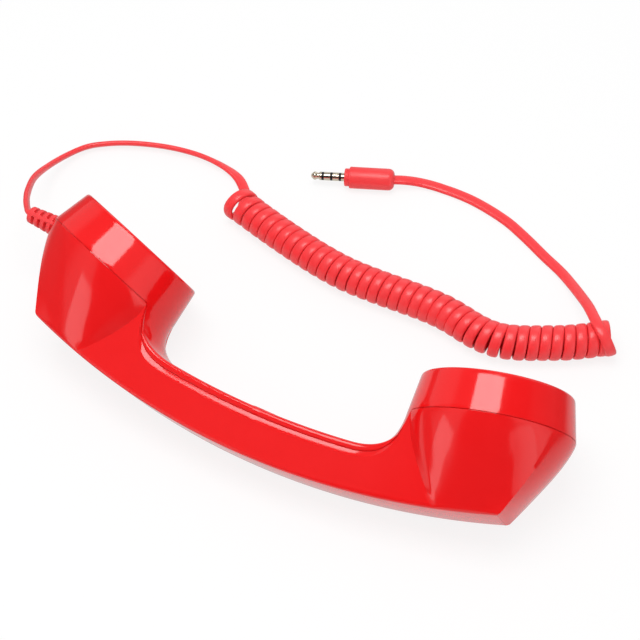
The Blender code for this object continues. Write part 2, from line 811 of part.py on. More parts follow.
def make_caps(frames):
    top = cap_level()
    low = top - CAP_THICKNESS
    outer = cap_radius()
    skirt = skirt_radius()
    pockets = {EAR: receiver_radius() + FIT_GAP, MOUTH: MIC_RADIUS + BOOT_WALL + 2 * FIT_GAP}
    names = {EAR: "ear_cap", MOUTH: "mouth_cap"}
    for side in (EAR, MOUTH):
        pocket = pockets[side]
        disc = [(0, top), (outer - CAP_ROUND, top), (outer, top - CAP_ROUND), (outer, low),
                (skirt, low), (skirt, low - CAP_SKIRT_HEIGHT),
                (skirt - CAP_SKIRT_WALL, low - CAP_SKIRT_HEIGHT), (skirt - CAP_SKIRT_WALL, low),
                (pocket + CAP_SKIRT_WALL, low), (pocket + CAP_SKIRT_WALL, low - POCKET_DEPTH),
                (pocket, low - POCKET_DEPTH), (pocket, low), (0, low)]
        cap = mesh_object(names[side], turned(disc, CAP_SIDES), frames[side], RED_GLOSS)
        holes = [pin(HOLE_RADIUS, low - WALL, top + WALL, sides=8)]
        for row in range(1, HOLE_ROWS + 1):
            for step in range(6 * row):
                angle = 2 * pi * step / (6 * row)
                holes.append(pin(HOLE_RADIUS, low - WALL, top + WALL, row * HOLE_PITCH * cos(angle),
                                 row * HOLE_PITCH * sin(angle), 8))
        tool = mesh_object(names[side] + "_holes", together(*holes), frames[side])
        combine(cap, tool, "DIFFERENCE")


def make_receiver(frames):
    frame = frames[EAR]
    top = cap_level() - CAP_THICKNESS - FIT_GAP
    outer = receiver_radius()
    magnet = magnet_radius()
    gasket = top - GASKET_THICKNESS
    mesh_object("receiver_gasket", turned([
        (outer, top), (outer, gasket), (outer - GASKET_WIDTH, gasket), (outer - GASKET_WIDTH, top)]),
        frame, FOAM)
    high = gasket - FIT_GAP
    low = high - RECEIVER_DEPTH
    seat = high - CONE_THICKNESS - FIT_GAP
    hub = magnet + FIT_GAP
    mesh_object("receiver_frame", turned([
        (outer, high), (outer - RECEIVER_WALL, high), (outer - RECEIVER_WALL, seat),
        (outer - GASKET_WIDTH, seat), (outer - GASKET_WIDTH - RECEIVER_WALL, low + RECEIVER_WALL),
        (hub, low + RECEIVER_WALL), (hub, low), (outer, low)]), frame, BLACK_PLASTIC)
    edge = outer - RECEIVER_WALL - FIT_GAP
    base = seat + FIT_GAP * 0.5
    middle = hub
    cone = [(edge, base), (edge - 0.003, base), (middle + 0.001, base + 0.0008), (middle, base + 0.0003),
            (0, base + 0.0014)]
    cone += [(radius, height + CONE_THICKNESS) for radius, height in reversed(cone)]
    mesh_object("receiver_diaphragm", turned(cone), frame, PAPER_CONE)
    mesh_object("receiver_magnet", turned([
        (0, seat - 0.0012), (magnet, seat - 0.0012), (magnet, low - FIT_GAP),
        (magnet + 0.0015, low - FIT_GAP), (magnet + 0.0015, low - 0.0018),
        (0, low - 0.0018)]), frame, STEEL)


def make_microphone(frames):
    frame = frames[MOUTH]
    top = cap_level() - CAP_THICKNESS - FIT_GAP
    outer = MIC_RADIUS + FIT_GAP + BOOT_WALL
    inner = MIC_RADIUS + FIT_GAP
    lip = top - 0.0008
    high = lip - FIT_GAP
    low = high - MIC_DEPTH
    floor = low - FIT_GAP
    mesh_object("microphone_boot", turned([
        (outer, top), (MIC_RADIUS * 0.72, top), (MIC_RADIUS * 0.72, lip), (inner, lip), (inner, floor),
        (0.0015, floor), (0.0015, floor - BOOT_FLOOR), (outer, floor - BOOT_FLOOR)]),
        frame, BLACK_RUBBER)
    mesh_object("microphone_capsule", turned([
        (0, high - 0.0003), (MIC_RADIUS * 0.6, high - 0.0003), (MIC_RADIUS * 0.62, high),
        (MIC_RADIUS - 0.0003, high), (MIC_RADIUS, high - 0.0003), (MIC_RADIUS, low), (0, low)]),
        frame, ALUMINIUM)


def make_button(frames):
    wall_inside = axes("button_axes", frames["handset"], grip_frame(0, GRIP_DEPTH - WALL))
    flange = -FIT_GAP - FLANGE_THICKNESS
    top = WALL + BUTTON_RISE
    body = prism(stadium(BUTTON_LENGTH, BUTTON_WIDTH), -FIT_GAP - FLANGE_THICKNESS * 0.5, top)
    foot = prism(stadium(BUTTON_LENGTH + 2 * BUTTON_FLANGE, BUTTON_WIDTH + 2 * BUTTON_FLANGE),
                 flange, -FIT_GAP)
    button = mesh_object("answer_button", foot, wall_inside, RED_GLOSS)
    combine(button, mesh_object("button_head", body, wall_inside), "UNION")
    high = flange - FIT_GAP
    seat = high - PLUNGER_RISE
    depth = seat - 2 * BUTTON_TRAVEL
    mesh_object("switch_plunger", turned([
        (0, high), (PLUNGER_RADIUS, high), (PLUNGER_RADIUS, depth), (0, depth)], 20),
        wall_inside, BLACK_PLASTIC)
    low = board_top() + FIT_GAP
    switch = mesh_object("switch_body", prism(rectangle(SWITCH_SIZE, SWITCH_SIZE), low, seat),
                         wall_inside, BLACK_PLASTIC)
    well = pin(PLUNGER_RADIUS + FIT_GAP * 0.5, depth - 2 * BUTTON_TRAVEL, seat + WALL, sides=20)
    combine(switch, mesh_object("switch_well", well, wall_inside), "DIFFERENCE")
    board = mesh_object("switch_board", prism(rectangle(BOARD_LENGTH, BOARD_WIDTH),
                                              board_top() - BOARD_THICKNESS, board_top()),
                        wall_inside, BOARD_GREEN)
    holes = []
    for turn in (1, -1):
        holes.append(pin(BOARD_SCREW_RADIUS + FIT_GAP, board_top() - 2 * BOARD_THICKNESS,
                         board_top() + BOARD_THICKNESS, turn * BOARD_SCREW_SPACING / 2))
    combine(board, mesh_object("board_holes", together(*holes), wall_inside), "DIFFERENCE")
    under = board_top() - BOARD_THICKNESS - FIT_GAP
    for number, turn in enumerate((1, -1), 1):
        shape = screw(BOARD_SCREW_RADIUS, BOARD_SCREW_HEAD, 0.0008, BOARD_SCREW_LENGTH * 0.9 + 0.0011)
        place = Matrix.Translation((turn * BOARD_SCREW_SPACING / 2, 0, under)) @ Matrix.Rotation(pi, 4, "X")
        mesh_object("board_screw_%d" % number, placed(shape, place), wall_inside, STEEL)


def screw(radius, head, height, length):
    # The head sits above z = 0 and the shank runs down from it.
    return turned([(0, height * 0.4), (head * 0.55, height * 0.4), (head * 0.55, height),
                   (head * 0.85, height), (head, height * 0.7), (head, 0), (radius, 0),
                   (radius, radius * 0.6 - length), (radius * 0.5, -length), (0, -length)],
                  16, star=(1, 2))


def make_shell_screws(frames):
    number = 0
    for side in (EAR, MOUTH):
        for turn in (1, -1):
            number += 1
            shape = screw(SCREW_RADIUS, SCREW_HEAD_RADIUS, SCREW_HEAD_HEIGHT, SCREW_LENGTH)
            place = Matrix.Translation((0, turn * screw_offset(), screw_tab_top() + FIT_GAP * 0.5))
            mesh_object("shell_screw_%d" % number, placed(shape, place), frames[side], STEEL)


def make_ballast(frames):
    low = RIB_HEIGHT + FIT_GAP
    bar = prism(rectangle(BALLAST_LENGTH, BALLAST_WIDTH), low, low + BALLAST_HEIGHT)
    bar = mesh_object("ballast_bar", placed(bar, ballast_frame()), frames["handset"], STEEL)
    edge = bar.modifiers.new("edge", "BEVEL")
    edge.width = 0.0005
    edge.segments = 1


def make_strain_relief(frames):
    neck = -(RELIEF_WALL_REACH + FIT_GAP)
    end = FIT_GAP + RELIEF_LENGTH
    body = turned([(0, end), (RELIEF_TIP_RADIUS - 0.0004, end), (RELIEF_TIP_RADIUS, end - 0.0004),
                   (RELIEF_BASE_RADIUS, FIT_GAP), (RELIEF_NECK_RADIUS, FIT_GAP),
                   (RELIEF_NECK_RADIUS, neck), (RELIEF_FLANGE_RADIUS, neck),
                   (RELIEF_FLANGE_RADIUS, neck - RELIEF_FLANGE_THICKNESS),
                   (0, neck - RELIEF_FLANGE_THICKNESS)], 24, along_x=True)
    relief = mesh_object("strain_relief", placed(body, relief_frame()), frames["handset"], RED_SATIN)
    slots = []
    for step in range(RELIEF_SLOTS):
        for turn in (1, -1):
            if step == RELIEF_SLOTS - 1 and turn < 0:
                continue
            middle = FIT_GAP + 0.0016 + (step + (0 if turn > 0 else 0.5)) * RELIEF_PITCH
            low, high = sorted((turn * RELIEF_WEB, turn * 2 * RELIEF_BASE_RADIUS))
            outline = [(middle - RELIEF_SLOT_WIDTH / 2, low), (middle + RELIEF_SLOT_WIDTH / 2, low),
                       (middle + RELIEF_SLOT_WIDTH / 2, high), (middle - RELIEF_SLOT_WIDTH / 2, high)]
            slots.append(prism(outline, -2 * RELIEF_BASE_RADIUS, 2 * RELIEF_BASE_RADIUS))
    tool = mesh_object("relief_slots", placed(together(*slots), relief_frame()), frames["handset"])
    combine(relief, tool, "DIFFERENCE")


def make_plug():
    along = Vector((PLUG_TIP[0] - PLUG_REAR[0], PLUG_TIP[1] - PLUG_REAR[1], 0)).normalized()
    matrix = Matrix((-along, Vector((0, 0, 1)).cross(-along), Vector((0, 0, 1)))).transposed().to_4x4()
    rear = Vector((PLUG_REAR[0], PLUG_REAR[1], BARREL_RADIUS + FIT_GAP))
    matrix.translation = rear + along * (BARREL_LENGTH + JACK_LENGTH)
    frame = axes("plug_axes", None, matrix)
    end = JACK_LENGTH + BARREL_LENGTH
    nose = JACK_LENGTH + BARREL_NOSE_LENGTH
    bore = JACK_RADIUS + JACK_GAP
    round_off = 0.0012
    stem = 0.0040
    shell = [(bore, JACK_LENGTH), (BARREL_NOSE_RADIUS - 0.0004, JACK_LENGTH),
             (BARREL_NOSE_RADIUS, JACK_LENGTH + 0.0004), (BARREL_NOSE_RADIUS, nose),
             (BARREL_RADIUS - 0.0004, nose), (BARREL_RADIUS, nose + 0.0004)]
    for step in range(5):
        angle = pi / 2 * step / 4
        shell.append((BARREL_RADIUS - round_off * (1 - cos(angle)), end - round_off * (1 - sin(angle))))
    shell += [(0, end), (0, JACK_LENGTH + stem + JACK_GAP), (bore, JACK_LENGTH + stem + JACK_GAP)]
    mesh_object("plug_barrel", turned(shell, 24, along_x=True), frame, RED_SATIN)

    core = JACK_CORE_RADIUS
    hole = core + JACK_GAP
    face = TIP_LENGTH
    mesh_object("jack_tip", turned([
        (0, 0), (0.0007, 0.0001), (0.0017, 0.0013), (0.00172, 0.0017), (0.0012, 0.0030),
        (0.0013, 0.0033), (JACK_RADIUS, 0.0037), (JACK_RADIUS, face), (core, face),
        (core, JACK_LENGTH + stem * 0.75), (0, JACK_LENGTH + stem * 0.75)], JACK_SIDES, along_x=True),
        frame, GOLD_PLATE)
    for number in range(1, 4):
        start = face + JACK_GAP
        stop = face + SPACER_LENGTH - JACK_GAP
        mesh_object("jack_spacer_%d" % number, turned([
            (hole, start), (JACK_RADIUS - 0.00005, start), (JACK_RADIUS - 0.00005, stop), (hole, stop)],
            JACK_SIDES, along_x=True), frame, BLACK_PLASTIC)
        face += SPACER_LENGTH
        if number < 3:
            mesh_object("jack_ring_%d" % number, turned([
                (hole, face), (JACK_RADIUS, face), (JACK_RADIUS, face + CONTACT_RING_LENGTH),
                (hole, face + CONTACT_RING_LENGTH)], JACK_SIDES, along_x=True), frame, GOLD_PLATE)
            face += CONTACT_RING_LENGTH
    mesh_object("jack_sleeve", turned([
        (hole, face), (JACK_RADIUS, face), (JACK_RADIUS, JACK_LENGTH + stem),
        (hole, JACK_LENGTH + stem)], JACK_SIDES, along_x=True), frame, GOLD_PLATE)
    return rear - along * FIT_GAP, -along


def make_cord(relief_tip, relief_out, plug_rear, plug_out):
    start = relief_tip + relief_out * FIT_GAP
    tail = [start, start + relief_out * 0.003] + [Vector(stop) for stop in TAIL_ROUTE]
    coil = [Vector((x, y, COIL_RADIUS + FIT_GAP)) for x, y in COIL_ROUTE]
    coil_in = (coil[1] - coil[0]).normalized()
    coil_out = (coil[-1] - coil[-2]).normalized()
    tail += [coil[0] - coil_in * 0.006, coil[0] - coil_in * FIT_GAP]
    tube("tail_cord", tail, CORD_RADIUS, CORD_STEP, 2, RED_SATIN)
    tube("coil_cord", coil, COIL_RADIUS, COIL_STEP, 4, RED_SATIN)
    lead = [coil[-1] + coil_out * FIT_GAP, coil[-1] + coil_out * 0.004]
    lead += [Vector(stop) for stop in LEAD_ROUTE]
    lead += [plug_rear + plug_out * 0.004, plug_rear]
    tube("plug_lead", lead, CORD_RADIUS, CORD_STEP, 2, RED_SATIN)


def lie_down(handset, shells):
    # The handset rests on the rims of both cups' seams and the middle of its spine's edge.
    lean = atan2(CUP_RADIUS - SPINE_HALF_WIDTH, CUP_HEIGHT)
    turn = Matrix.Rotation(lean, 4, "X")
    points = [turn @ vertex.co for shell in shells for vertex in shell.data.vertices]
    low = min(point.z for point in points)
    middle_x = (min(point.x for point in points) + max(point.x for point in points)) / 2
    middle_y = (min(point.y for point in points) + max(point.y for point in points)) / 2
    place = Matrix.Translation((-middle_x, -middle_y, -low)) @ turn
    handset.matrix_local = place
    return place


def build():
    for item in list(bpy.data.objects):
        bpy.data.objects.remove(item, do_unlink=True)
    handset = axes("handset_axes", None, Matrix.Identity(4))
    frames = {"handset": handset, EAR: axes("ear_axes", handset, cup_frame(EAR)),
              MOUTH: axes("mouth_axes", handset, cup_frame(MOUTH))}
    front, relief_hole = make_front_shell(frames)
    back = make_back_shell(frames, relief_hole)
    make_caps(frames)
    make_receiver(frames)
    make_microphone(frames)
    make_button(frames)
    make_shell_screws(frames)
    make_ballast(frames)
    make_strain_relief(frames)
    place = lie_down(handset, (front, back)) @ relief_frame()
    tip = place @ Vector((FIT_GAP + RELIEF_LENGTH, 0, 0))
    out = (place.to_3x3() @ Vector((1, 0, 0))).normalized()
    plug_rear, plug_out = make_plug()
    make_cord(tip, out, plug_rear, plug_out)


build()
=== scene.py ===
# Telephone handset on its side, with a curly cord and an audio plug.
# Everything is in metres. Handset places are (x along, y from the spine to the mouths, z across),
# and layDown turns them to the way it lies on the floor.
from math import atan2, copysign, cos, exp, hypot, pi, radians, sin, sqrt

import bpy
from mathutils import Matrix, Quaternion, Vector


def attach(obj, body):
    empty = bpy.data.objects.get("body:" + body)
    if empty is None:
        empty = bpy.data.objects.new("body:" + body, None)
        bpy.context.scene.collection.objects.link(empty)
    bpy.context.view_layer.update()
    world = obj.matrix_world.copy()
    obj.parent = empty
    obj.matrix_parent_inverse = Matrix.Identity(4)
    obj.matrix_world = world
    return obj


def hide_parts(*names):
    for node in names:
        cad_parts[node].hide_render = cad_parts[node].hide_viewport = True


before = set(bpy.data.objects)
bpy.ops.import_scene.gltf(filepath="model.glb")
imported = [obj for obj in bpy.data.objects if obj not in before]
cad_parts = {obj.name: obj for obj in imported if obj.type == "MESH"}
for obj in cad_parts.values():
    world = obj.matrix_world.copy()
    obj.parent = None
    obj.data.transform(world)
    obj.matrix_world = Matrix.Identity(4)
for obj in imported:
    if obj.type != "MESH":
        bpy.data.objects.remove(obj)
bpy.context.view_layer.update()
print("frame loaded:", len(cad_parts), "nodes")

handset = dict(
    halfLength=0.11, cupRadius=0.0308, rimRadius=0.028, collarHeight=0.0155,
    rimRound=0.001, rimFlat=0.001, rimBreak=0.0002, rimInside=0.0035,
    cupHeight=0.0453, earTilt=radians(14.5), mouthTilt=radians(18.4),
    cornerAngle=radians(31.7), spineRadius=0.292, spineHalfWidth=0.011,
    spineRound=0.0014, gripDepth=0.0181, gripTopRadius=0.32, gripHalfSpan=0.038,
    neckPull=0.45, seamPull=1.15, seamLean=0.06, stripDepth=0.003,
    edgeRound=0.0022, edgeRoom=1.25, edgeShare=0.7, bandWidth=0.0022,
    bandInset=0.001, bandEnd=0.0004, footInner=0.0755, footOuter=0.098,
    creaseBow=0.003, ridgeBow=0.0018, frontBow=0.0012, endBow=0.0022,
    bowSkew=0.75, wall=0.0022, groove=0.00024, seamRound=0.00014,
    wallStart=0.005, wallLength=0.045, tongueDepth=0.00062, tongueHeight=0.0014,
    tongueBelow=0.0005, tongueRoom=0.45, tongueWall=0.0006,
    shift=(0.000007, -0.032215, 0.01041),
)
lean = atan2(handset["cupRadius"] - handset["spineHalfWidth"], handset["cupHeight"])
layDown = Matrix.Translation(handset["shift"]) @ Matrix.Rotation(lean, 4, "X")
tilts = {1: handset["earTilt"], -1: handset["mouthTilt"]}
cornerAngle, halfGap = handset["cornerAngle"], handset["groove"] / 2


# small helpers, and the steps of a rounding over a quarter turn

quarterTurns = [pi / 2 * step / 5 for step in range(1, 6)]


def deselectAll():
    if bpy.context.object and bpy.context.object.mode != "OBJECT":
        bpy.ops.object.mode_set(mode="OBJECT")
    bpy.ops.object.select_all(action="DESELECT")


def pickOnly(*pieces):
    deselectAll()
    for piece in pieces:
        piece.select_set(True)
    bpy.context.view_layer.objects.active = pieces[0]


def applyAll(piece):
    pickOnly(piece)
    for modifier in list(piece.modifiers):
        bpy.ops.object.modifier_apply(modifier=modifier.name)


def settle(piece):
    # the piece's own place, turn and size go into its mesh
    pickOnly(piece)
    bpy.ops.object.transform_apply(location=True, rotation=True, scale=True)


def place(piece, matrix):
    piece.matrix_world = matrix @ piece.matrix_world
    bpy.context.view_layer.update()
    settle(piece)


def editAll(piece):
    pickOnly(piece)
    bpy.ops.object.mode_set(mode="EDIT")
    bpy.ops.mesh.select_all(action="SELECT")


def tidyMesh(piece, distance=0.00001):
    editAll(piece)
    bpy.ops.mesh.remove_doubles(threshold=distance)
    bpy.ops.mesh.dissolve_degenerate(threshold=distance)
    bpy.ops.mesh.select_all(action="SELECT")
    bpy.ops.mesh.normals_make_consistent(inside=False)
    bpy.ops.object.mode_set(mode="OBJECT")


def smooth(piece, degrees):
    pickOnly(piece)
    bpy.ops.object.shade_smooth_by_angle(angle=radians(degrees))


def finishPiece(piece, matrix, degrees):
    place(piece, matrix)
    smooth(piece, degrees)
    return piece


def roundEdges(piece, width, segments, degrees):
    rounding = piece.modifiers.new("edge", "BEVEL")
    rounding.width = width
    rounding.segments = segments
    rounding.angle_limit = radians(degrees)
    applyAll(piece)


def toLinear(hexColour):
    parts = [int(hexColour[i:i + 2], 16) / 255 for i in (1, 3, 5)]
    linear = [c / 12.92 if c <= 0.04045 else ((c + 0.055) / 1.055) ** 2.4 for c in parts]
    return (*linear, 1.0)


def addNode(material, kind, links=None, values=None, **settings):
    # settings first: some change which inputs there are; a node stands for its first output
    node = material.node_tree.nodes.new("ShaderNode" + kind)
    for name, value in settings.items():
        setattr(node, name, value)
    for name, value in (values or {}).items():
        node.inputs[name].default_value = value
    for name, output in (links or {}).items():
        output = getattr(output, "outputs", [output])[0]
        material.node_tree.links.new(output, node.inputs[name])
    return node


def newMaterial(name):
    material = bpy.data.materials.new(name)
    material.use_nodes = True
    return material, material.node_tree.nodes["Principled BSDF"]


def dress(piece, material):
    piece.data.materials.clear()
    piece.data.materials.append(material)


def gridPiece(name, columns, rows, point):
    # a grid, then each of its corners is carried to its place on the surface
    deselectAll()
    bpy.ops.mesh.primitive_grid_add(x_subdivisions=columns - 1, y_subdivisions=rows - 1, size=1)
    piece = bpy.context.object
    piece.name = name
    for vertex in piece.data.vertices:
        column = round((vertex.co.x + 0.5) * (columns - 1))
        row = round((vertex.co.y + 0.5) * (rows - 1))
        vertex.co = point(column, row)
    return piece


def turned(name, steps, vertices):
    # a disc, extruded and scaled from one step of (radius, height) to the next
    deselectAll()
    radius, height = steps[0]
    bpy.ops.mesh.primitive_circle_add(vertices=vertices, radius=radius, fill_type="NGON",
                                      location=(0, 0, height))
    piece = bpy.context.object
    piece.name = name
    editAll(piece)
    for nextRadius, nextHeight in steps[1:]:
        bpy.ops.mesh.extrude_region_move(
            TRANSFORM_OT_translate={"value": (0, 0, nextHeight - height)})
        if abs(nextRadius - radius) > 1e-9:
            scale = nextRadius / radius
            bpy.ops.transform.resize(value=(scale, scale, 1), center_override=(0, 0, nextHeight))
        radius, height = nextRadius, nextHeight
    bpy.ops.object.mode_set(mode="OBJECT")
    settle(piece)
    tidyMesh(piece, 0.000005)
    return piece


# camera, at the photograph's viewing angle

view = dict(
    right=(0.8733, 0.48452, -0.05097), down=(0.3588, -0.71041, -0.60546),
    forward=(-0.32957, 0.51046, -0.79424), eye=(0.24927, -0.35944, 0.62649), lens=112.5,
)
camera = bpy.data.objects.new("camera", bpy.data.cameras.new("camera"))
bpy.context.scene.collection.objects.link(camera)
cameraTurn = Matrix((view["right"], -Vector(view["down"]), -Vector(view["forward"]))).transposed()
camera.matrix_world = Matrix.Translation(view["eye"]) @ cameraTurn.to_4x4()
camera.data.lens = view["lens"]
camera.data.sensor_width = 36
camera.data.clip_start = 0.01
camera.data.dof.use_dof = False
bpy.context.scene.camera = camera
print("camera placed")


# cord: one flat cable, from the strain relief through the coil to the plug

cordFacts = dict(
    width=0.0043, thickness=0.0022, corner=0.72, sectionPoints=16,
    spacing=0.0016, floorGap=0.0002, floorSpare=1.06, coilRadius=0.0069,
    turns=38, turnPoints=26, axisSpacing=0.0005, axisWindow=6,
    # the cable comes in under the first loop
    firstTurn=-0.25, turnsCut=0.13,
    # the first turns lag behind an even pitch and are wider, both less and less
    pitchStretch=1.012, lag=0.01, lagFade=1.1, lagShare=0.9,
    swell=0.1, swellFade=1.5,
    reliefTilt=radians(3), reliefDrop=0.002, reliefLength=0.0149,
    intoRelief=0.0015, pastRelief=0.0004, intoPlug=0.0005,
)
# places on the cable's middle line, each with the way its width leans
towardsEye = (0.33, -0.51, 0.79)
flat = (0, 0, 0)
tailStops = [(stop, towardsEye) for stop in (
    (-0.1275, 0.019, 0.0302), (-0.1299, 0.0213, 0.0289), (-0.133, 0.0248, 0.027),
    (-0.138, 0.0318, 0.0231), (-0.1445, 0.0439, 0.016), (-0.1474, 0.0557, 0.0094),
    (-0.1468, 0.0677, 0.0047), (-0.1429, 0.0772, 0.0028), (-0.1365, 0.0825, 0.0027),
    (-0.1282, 0.0871, 0.0027), (-0.1179, 0.091, 0.0027), (-0.1075, 0.0936, 0.0027),
    (-0.0965, 0.0948, 0.0027))]
tailStops += [
    ((-0.086, 0.0942, 0.0025), (0.3, -0.62, 0.6)),
    ((-0.0779, 0.0924, 0.0018), (0.25, -0.8, 0.25)),
    ((-0.0727, 0.089, 0.0013), flat), ((-0.069, 0.0845, 0.0013), flat),
]
coilStops = [
    (-0.0661, 0.0759), (-0.0552, 0.0727), (-0.0391, 0.0686), (-0.0238, 0.0653), (-0.0099, 0.0634),
    (0.0039, 0.0633), (0.0161, 0.0638), (0.0246, 0.0641), (0.0325, 0.0639), (0.0395, 0.0629),
    (0.0456, 0.0616), (0.0514, 0.0608), (0.0571, 0.0609), (0.0622, 0.0621), (0.0679, 0.0644),
    (0.0748, 0.0679), (0.0818, 0.0716), (0.0883, 0.0759), (0.0946, 0.0806),
]
leadStops = [
    (0.0987, 0.0763, 0.0049), (0.099, 0.075, 0.0078), (0.0982, 0.0746, 0.011),
    (0.0955, 0.076, 0.0141), (0.0921, 0.0785, 0.0152), (0.0884, 0.0825, 0.0142),
    (0.0836, 0.0881, 0.0118), (0.0781, 0.0941, 0.008), (0.0713, 0.1007, 0.0041),
    (0.0638, 0.1064, 0.0018), (0.054, 0.1112, 0.0013), (0.043, 0.1166, 0.0012),
    (0.0319, 0.1211, 0.0012), (0.0165, 0.1244, 0.0012), (0.0023, 0.1247, 0.0014),
    (-0.0066, 0.1228, 0.0026), (-0.0125, 0.1198, 0.0042),
]
# the lead's width swings round over the coil's top, then it lies flat
leadWidth = dict(
    first=(0.75, 0.66, 0), last=(0.66, 0.75, 0), swingFrom=0.095, swing=0.012,
    flatFrom=0.083,
)
plug = dict(
    rear=(-0.0165, 0.1175), tip=(-0.0475, 0.1048), barrelRadius=0.0045,
    barrelLength=0.0206, jackLength=0.014, floorGap=0.0003,
)
plugAlong = Vector([tip - rear for tip, rear in zip(plug["tip"], plug["rear"])] + [0]).normalized()
plugRear = Vector((*plug["rear"], plug["barrelRadius"] + plug["floorGap"]))


def smoothLine(stops, spacing, finer=24):
    # a curve through the stops with its points evenly spaced
    ends = [stops[0] * 2 - stops[1]] + stops + [stops[-1] * 2 - stops[-2]]
    dense = []
    for before, start, end, after in zip(ends, ends[1:], ends[2:], ends[3:]):
        for step in range(finer):
            t = step / finer
            dense.append(0.5 * (start * 2 + (end - before) * t
                                + (before * 2 - start * 5 + end * 4 - after) * t ** 2
                                + (start * 3 - before - end * 3 + after) * t ** 3))
    dense.append(stops[-1])
    far = [0.0]
    for start, end in zip(dense, dense[1:]):
        far.append(far[-1] + (end - start).length)
    count = max(2, round(far[-1] / spacing))
    points, index = [], 0
    for step in range(count + 1):
        target = far[-1] * step / count
        while index < len(dense) - 2 and far[index + 1] < target:
            index += 1
        span = max(far[index + 1] - far[index], 1e-9)
        points.append(dense[index].lerp(dense[index + 1], min(1, (target - far[index]) / span)))
    return points


def headingAt(line, index):
    return (line[min(index + 1, len(line) - 1)] - line[max(index - 1, 0)]).normalized()


def reliefFrame():
    tilt = cordFacts["reliefTilt"]
    out, across = Vector((-cos(tilt), sin(tilt), 0)), Vector((0, 0, 1))
    matrix = Matrix((out, across.cross(out), across)).transposed().to_4x4()
    seamY = handset["cupHeight"] + handset["cupRadius"] * sin(handset["mouthTilt"])
    matrix.translation = Vector((-handset["halfLength"], seamY - cordFacts["reliefDrop"], 0))
    return layDown @ matrix


def makeCoil():
    # the coil's middle line, and the coil's own direction beside each point
    facts = cordFacts
    radius = facts["coilRadius"] - facts["thickness"] / 2
    high = facts["coilRadius"] + facts["floorGap"]
    axis = smoothLine([Vector((x, y, high)) for x, y in coilStops], facts["axisSpacing"])
    startTurn, endTurn = facts["firstTurn"], facts["turns"] - facts["turnsCut"]
    total = int((endTurn - startTurn) * facts["turnPoints"])
    helix, directions = [], []
    for step in range(total + 1):
        turn = startTurn + (endTurn - startTurn) * step / total
        share = (turn - startTurn) / (endTurn - startTurn)
        lag = facts["lag"] * exp(-max(turn, 0) * facts["lagFade"])
        spot = (share * facts["pitchStretch"] - lag * facts["lagShare"]) * (len(axis) - 1)
        spot = min(max(spot, 0), len(axis) - 1.001)
        index = int(spot)
        centre = axis[index].lerp(axis[index + 1], spot - index)
        near = axis[max(index - facts["axisWindow"], 0)]
        far = axis[min(index + facts["axisWindow"] + 1, len(axis) - 1)]
        along = (far - near).normalized()
        front = along.cross(Vector((0, 0, 1))).normalized()
        swell = 1 + facts["swell"] * exp(-max(turn, 0) * facts["swellFade"])
        angle = 2 * pi * turn
        lift = Vector((0, 0, radius * (swell - 1)))
        helix.append(centre + lift + front * (radius * swell * cos(angle))
                     + Vector((0, 0, radius * swell * sin(angle))))
        directions.append(along)
    return helix, directions


def cordRoute():
    # the whole middle line, and beside each point the way the cable's width leans
    facts, relief = cordFacts, reliefFrame()
    tip = relief @ Vector((facts["reliefLength"], 0, 0))
    out = (relief.to_3x3() @ Vector((1, 0, 0))).normalized()
    helix, helixWidths = makeCoil()
    stops = [(tip - out * facts["intoRelief"], towardsEye),
             (tip + out * facts["pastRelief"], towardsEye)] + tailStops + [(helix[0], flat)]
    tail = smoothLine([Vector(stop) for stop, _ in stops], facts["spacing"])[:-1]
    widths = []
    for point in tail:
        nearest = min(stops, key=lambda stop: (Vector(stop[0]) - point).length)
        widths.append(Vector(nearest[1]))
    widths += helixWidths
    lead = [helix[-1]] + [Vector(stop) for stop in leadStops]
    lead.append(plugRear + plugAlong * facts["intoPlug"])
    lead = smoothLine(lead, facts["spacing"])[1:]
    for point in lead:
        share = min(1, max(0, (leadWidth["swingFrom"] - point.x) / leadWidth["swing"]))
        across = Vector(leadWidth["first"]).lerp(Vector(leadWidth["last"]), share)
        widths.append(across if point.x > leadWidth["flatFrom"] else Vector(flat))
    return tail + helix + lead, widths


def blendWidths(route, widths):
    # a flat cable turns slowly: each width is squared to the line and mixed with its neighbours
    sides = []
    for index, side in enumerate(widths):
        along = headingAt(route, index)
        if side.length < 0.1:
            side = Vector((0, 0, 1)).cross(along)
        side = (side - along * side.dot(along)).normalized()
        if sides and side.dot(sides[-1]) < 0:
            side = -side
        sides.append(side)
    for _ in range(10):
        mixed = []
        for index, side in enumerate(sides):
            before, after = sides[max(index - 1, 0)], sides[min(index + 1, len(sides) - 1)]
            mixed.append((before + side * 2 + after).normalized())
        sides = mixed
    return sides


def makeCord():
    route, widths = cordRoute()
    sides = blendWidths(route, widths)
    count = cordFacts["sectionPoints"]
    half, thick = cordFacts["width"] / 2, cordFacts["thickness"] / 2
    for index, point in enumerate(route):
        # nothing of the cable goes into the floor
        up = sides[index].cross(headingAt(route, index))
        reach = hypot(sides[index].z * half, up.z * thick) * cordFacts["floorSpare"]
        point.z += max(0, cordFacts["floorGap"] - (point.z - reach))

    def skin(column, row):
        along = headingAt(route, row)
        side = (sides[row] - along * sides[row].dot(along)).normalized()
        angle = 2 * pi * column / count
        wide, high = [copysign(abs(value) ** cordFacts["corner"], value)
                      for value in (cos(angle), sin(angle))]
        return route[row] + side * (wide * half) + side.cross(along) * (high * thick)

    piece = gridPiece("flatCord", count + 1, len(route), skin)
    editAll(piece)
    bpy.ops.mesh.remove_doubles(threshold=0.00001)
    bpy.ops.mesh.select_all(action="DESELECT")
    bpy.ops.mesh.select_non_manifold()
    bpy.ops.mesh.edge_face_add()
    bpy.ops.mesh.select_all(action="SELECT")
    bpy.ops.mesh.normals_make_consistent(inside=False)
    bpy.ops.object.mode_set(mode="OBJECT")
    smooth(piece, 60)
    return piece, route, sum((b - a).length for a, b in zip(route, route[1:]))


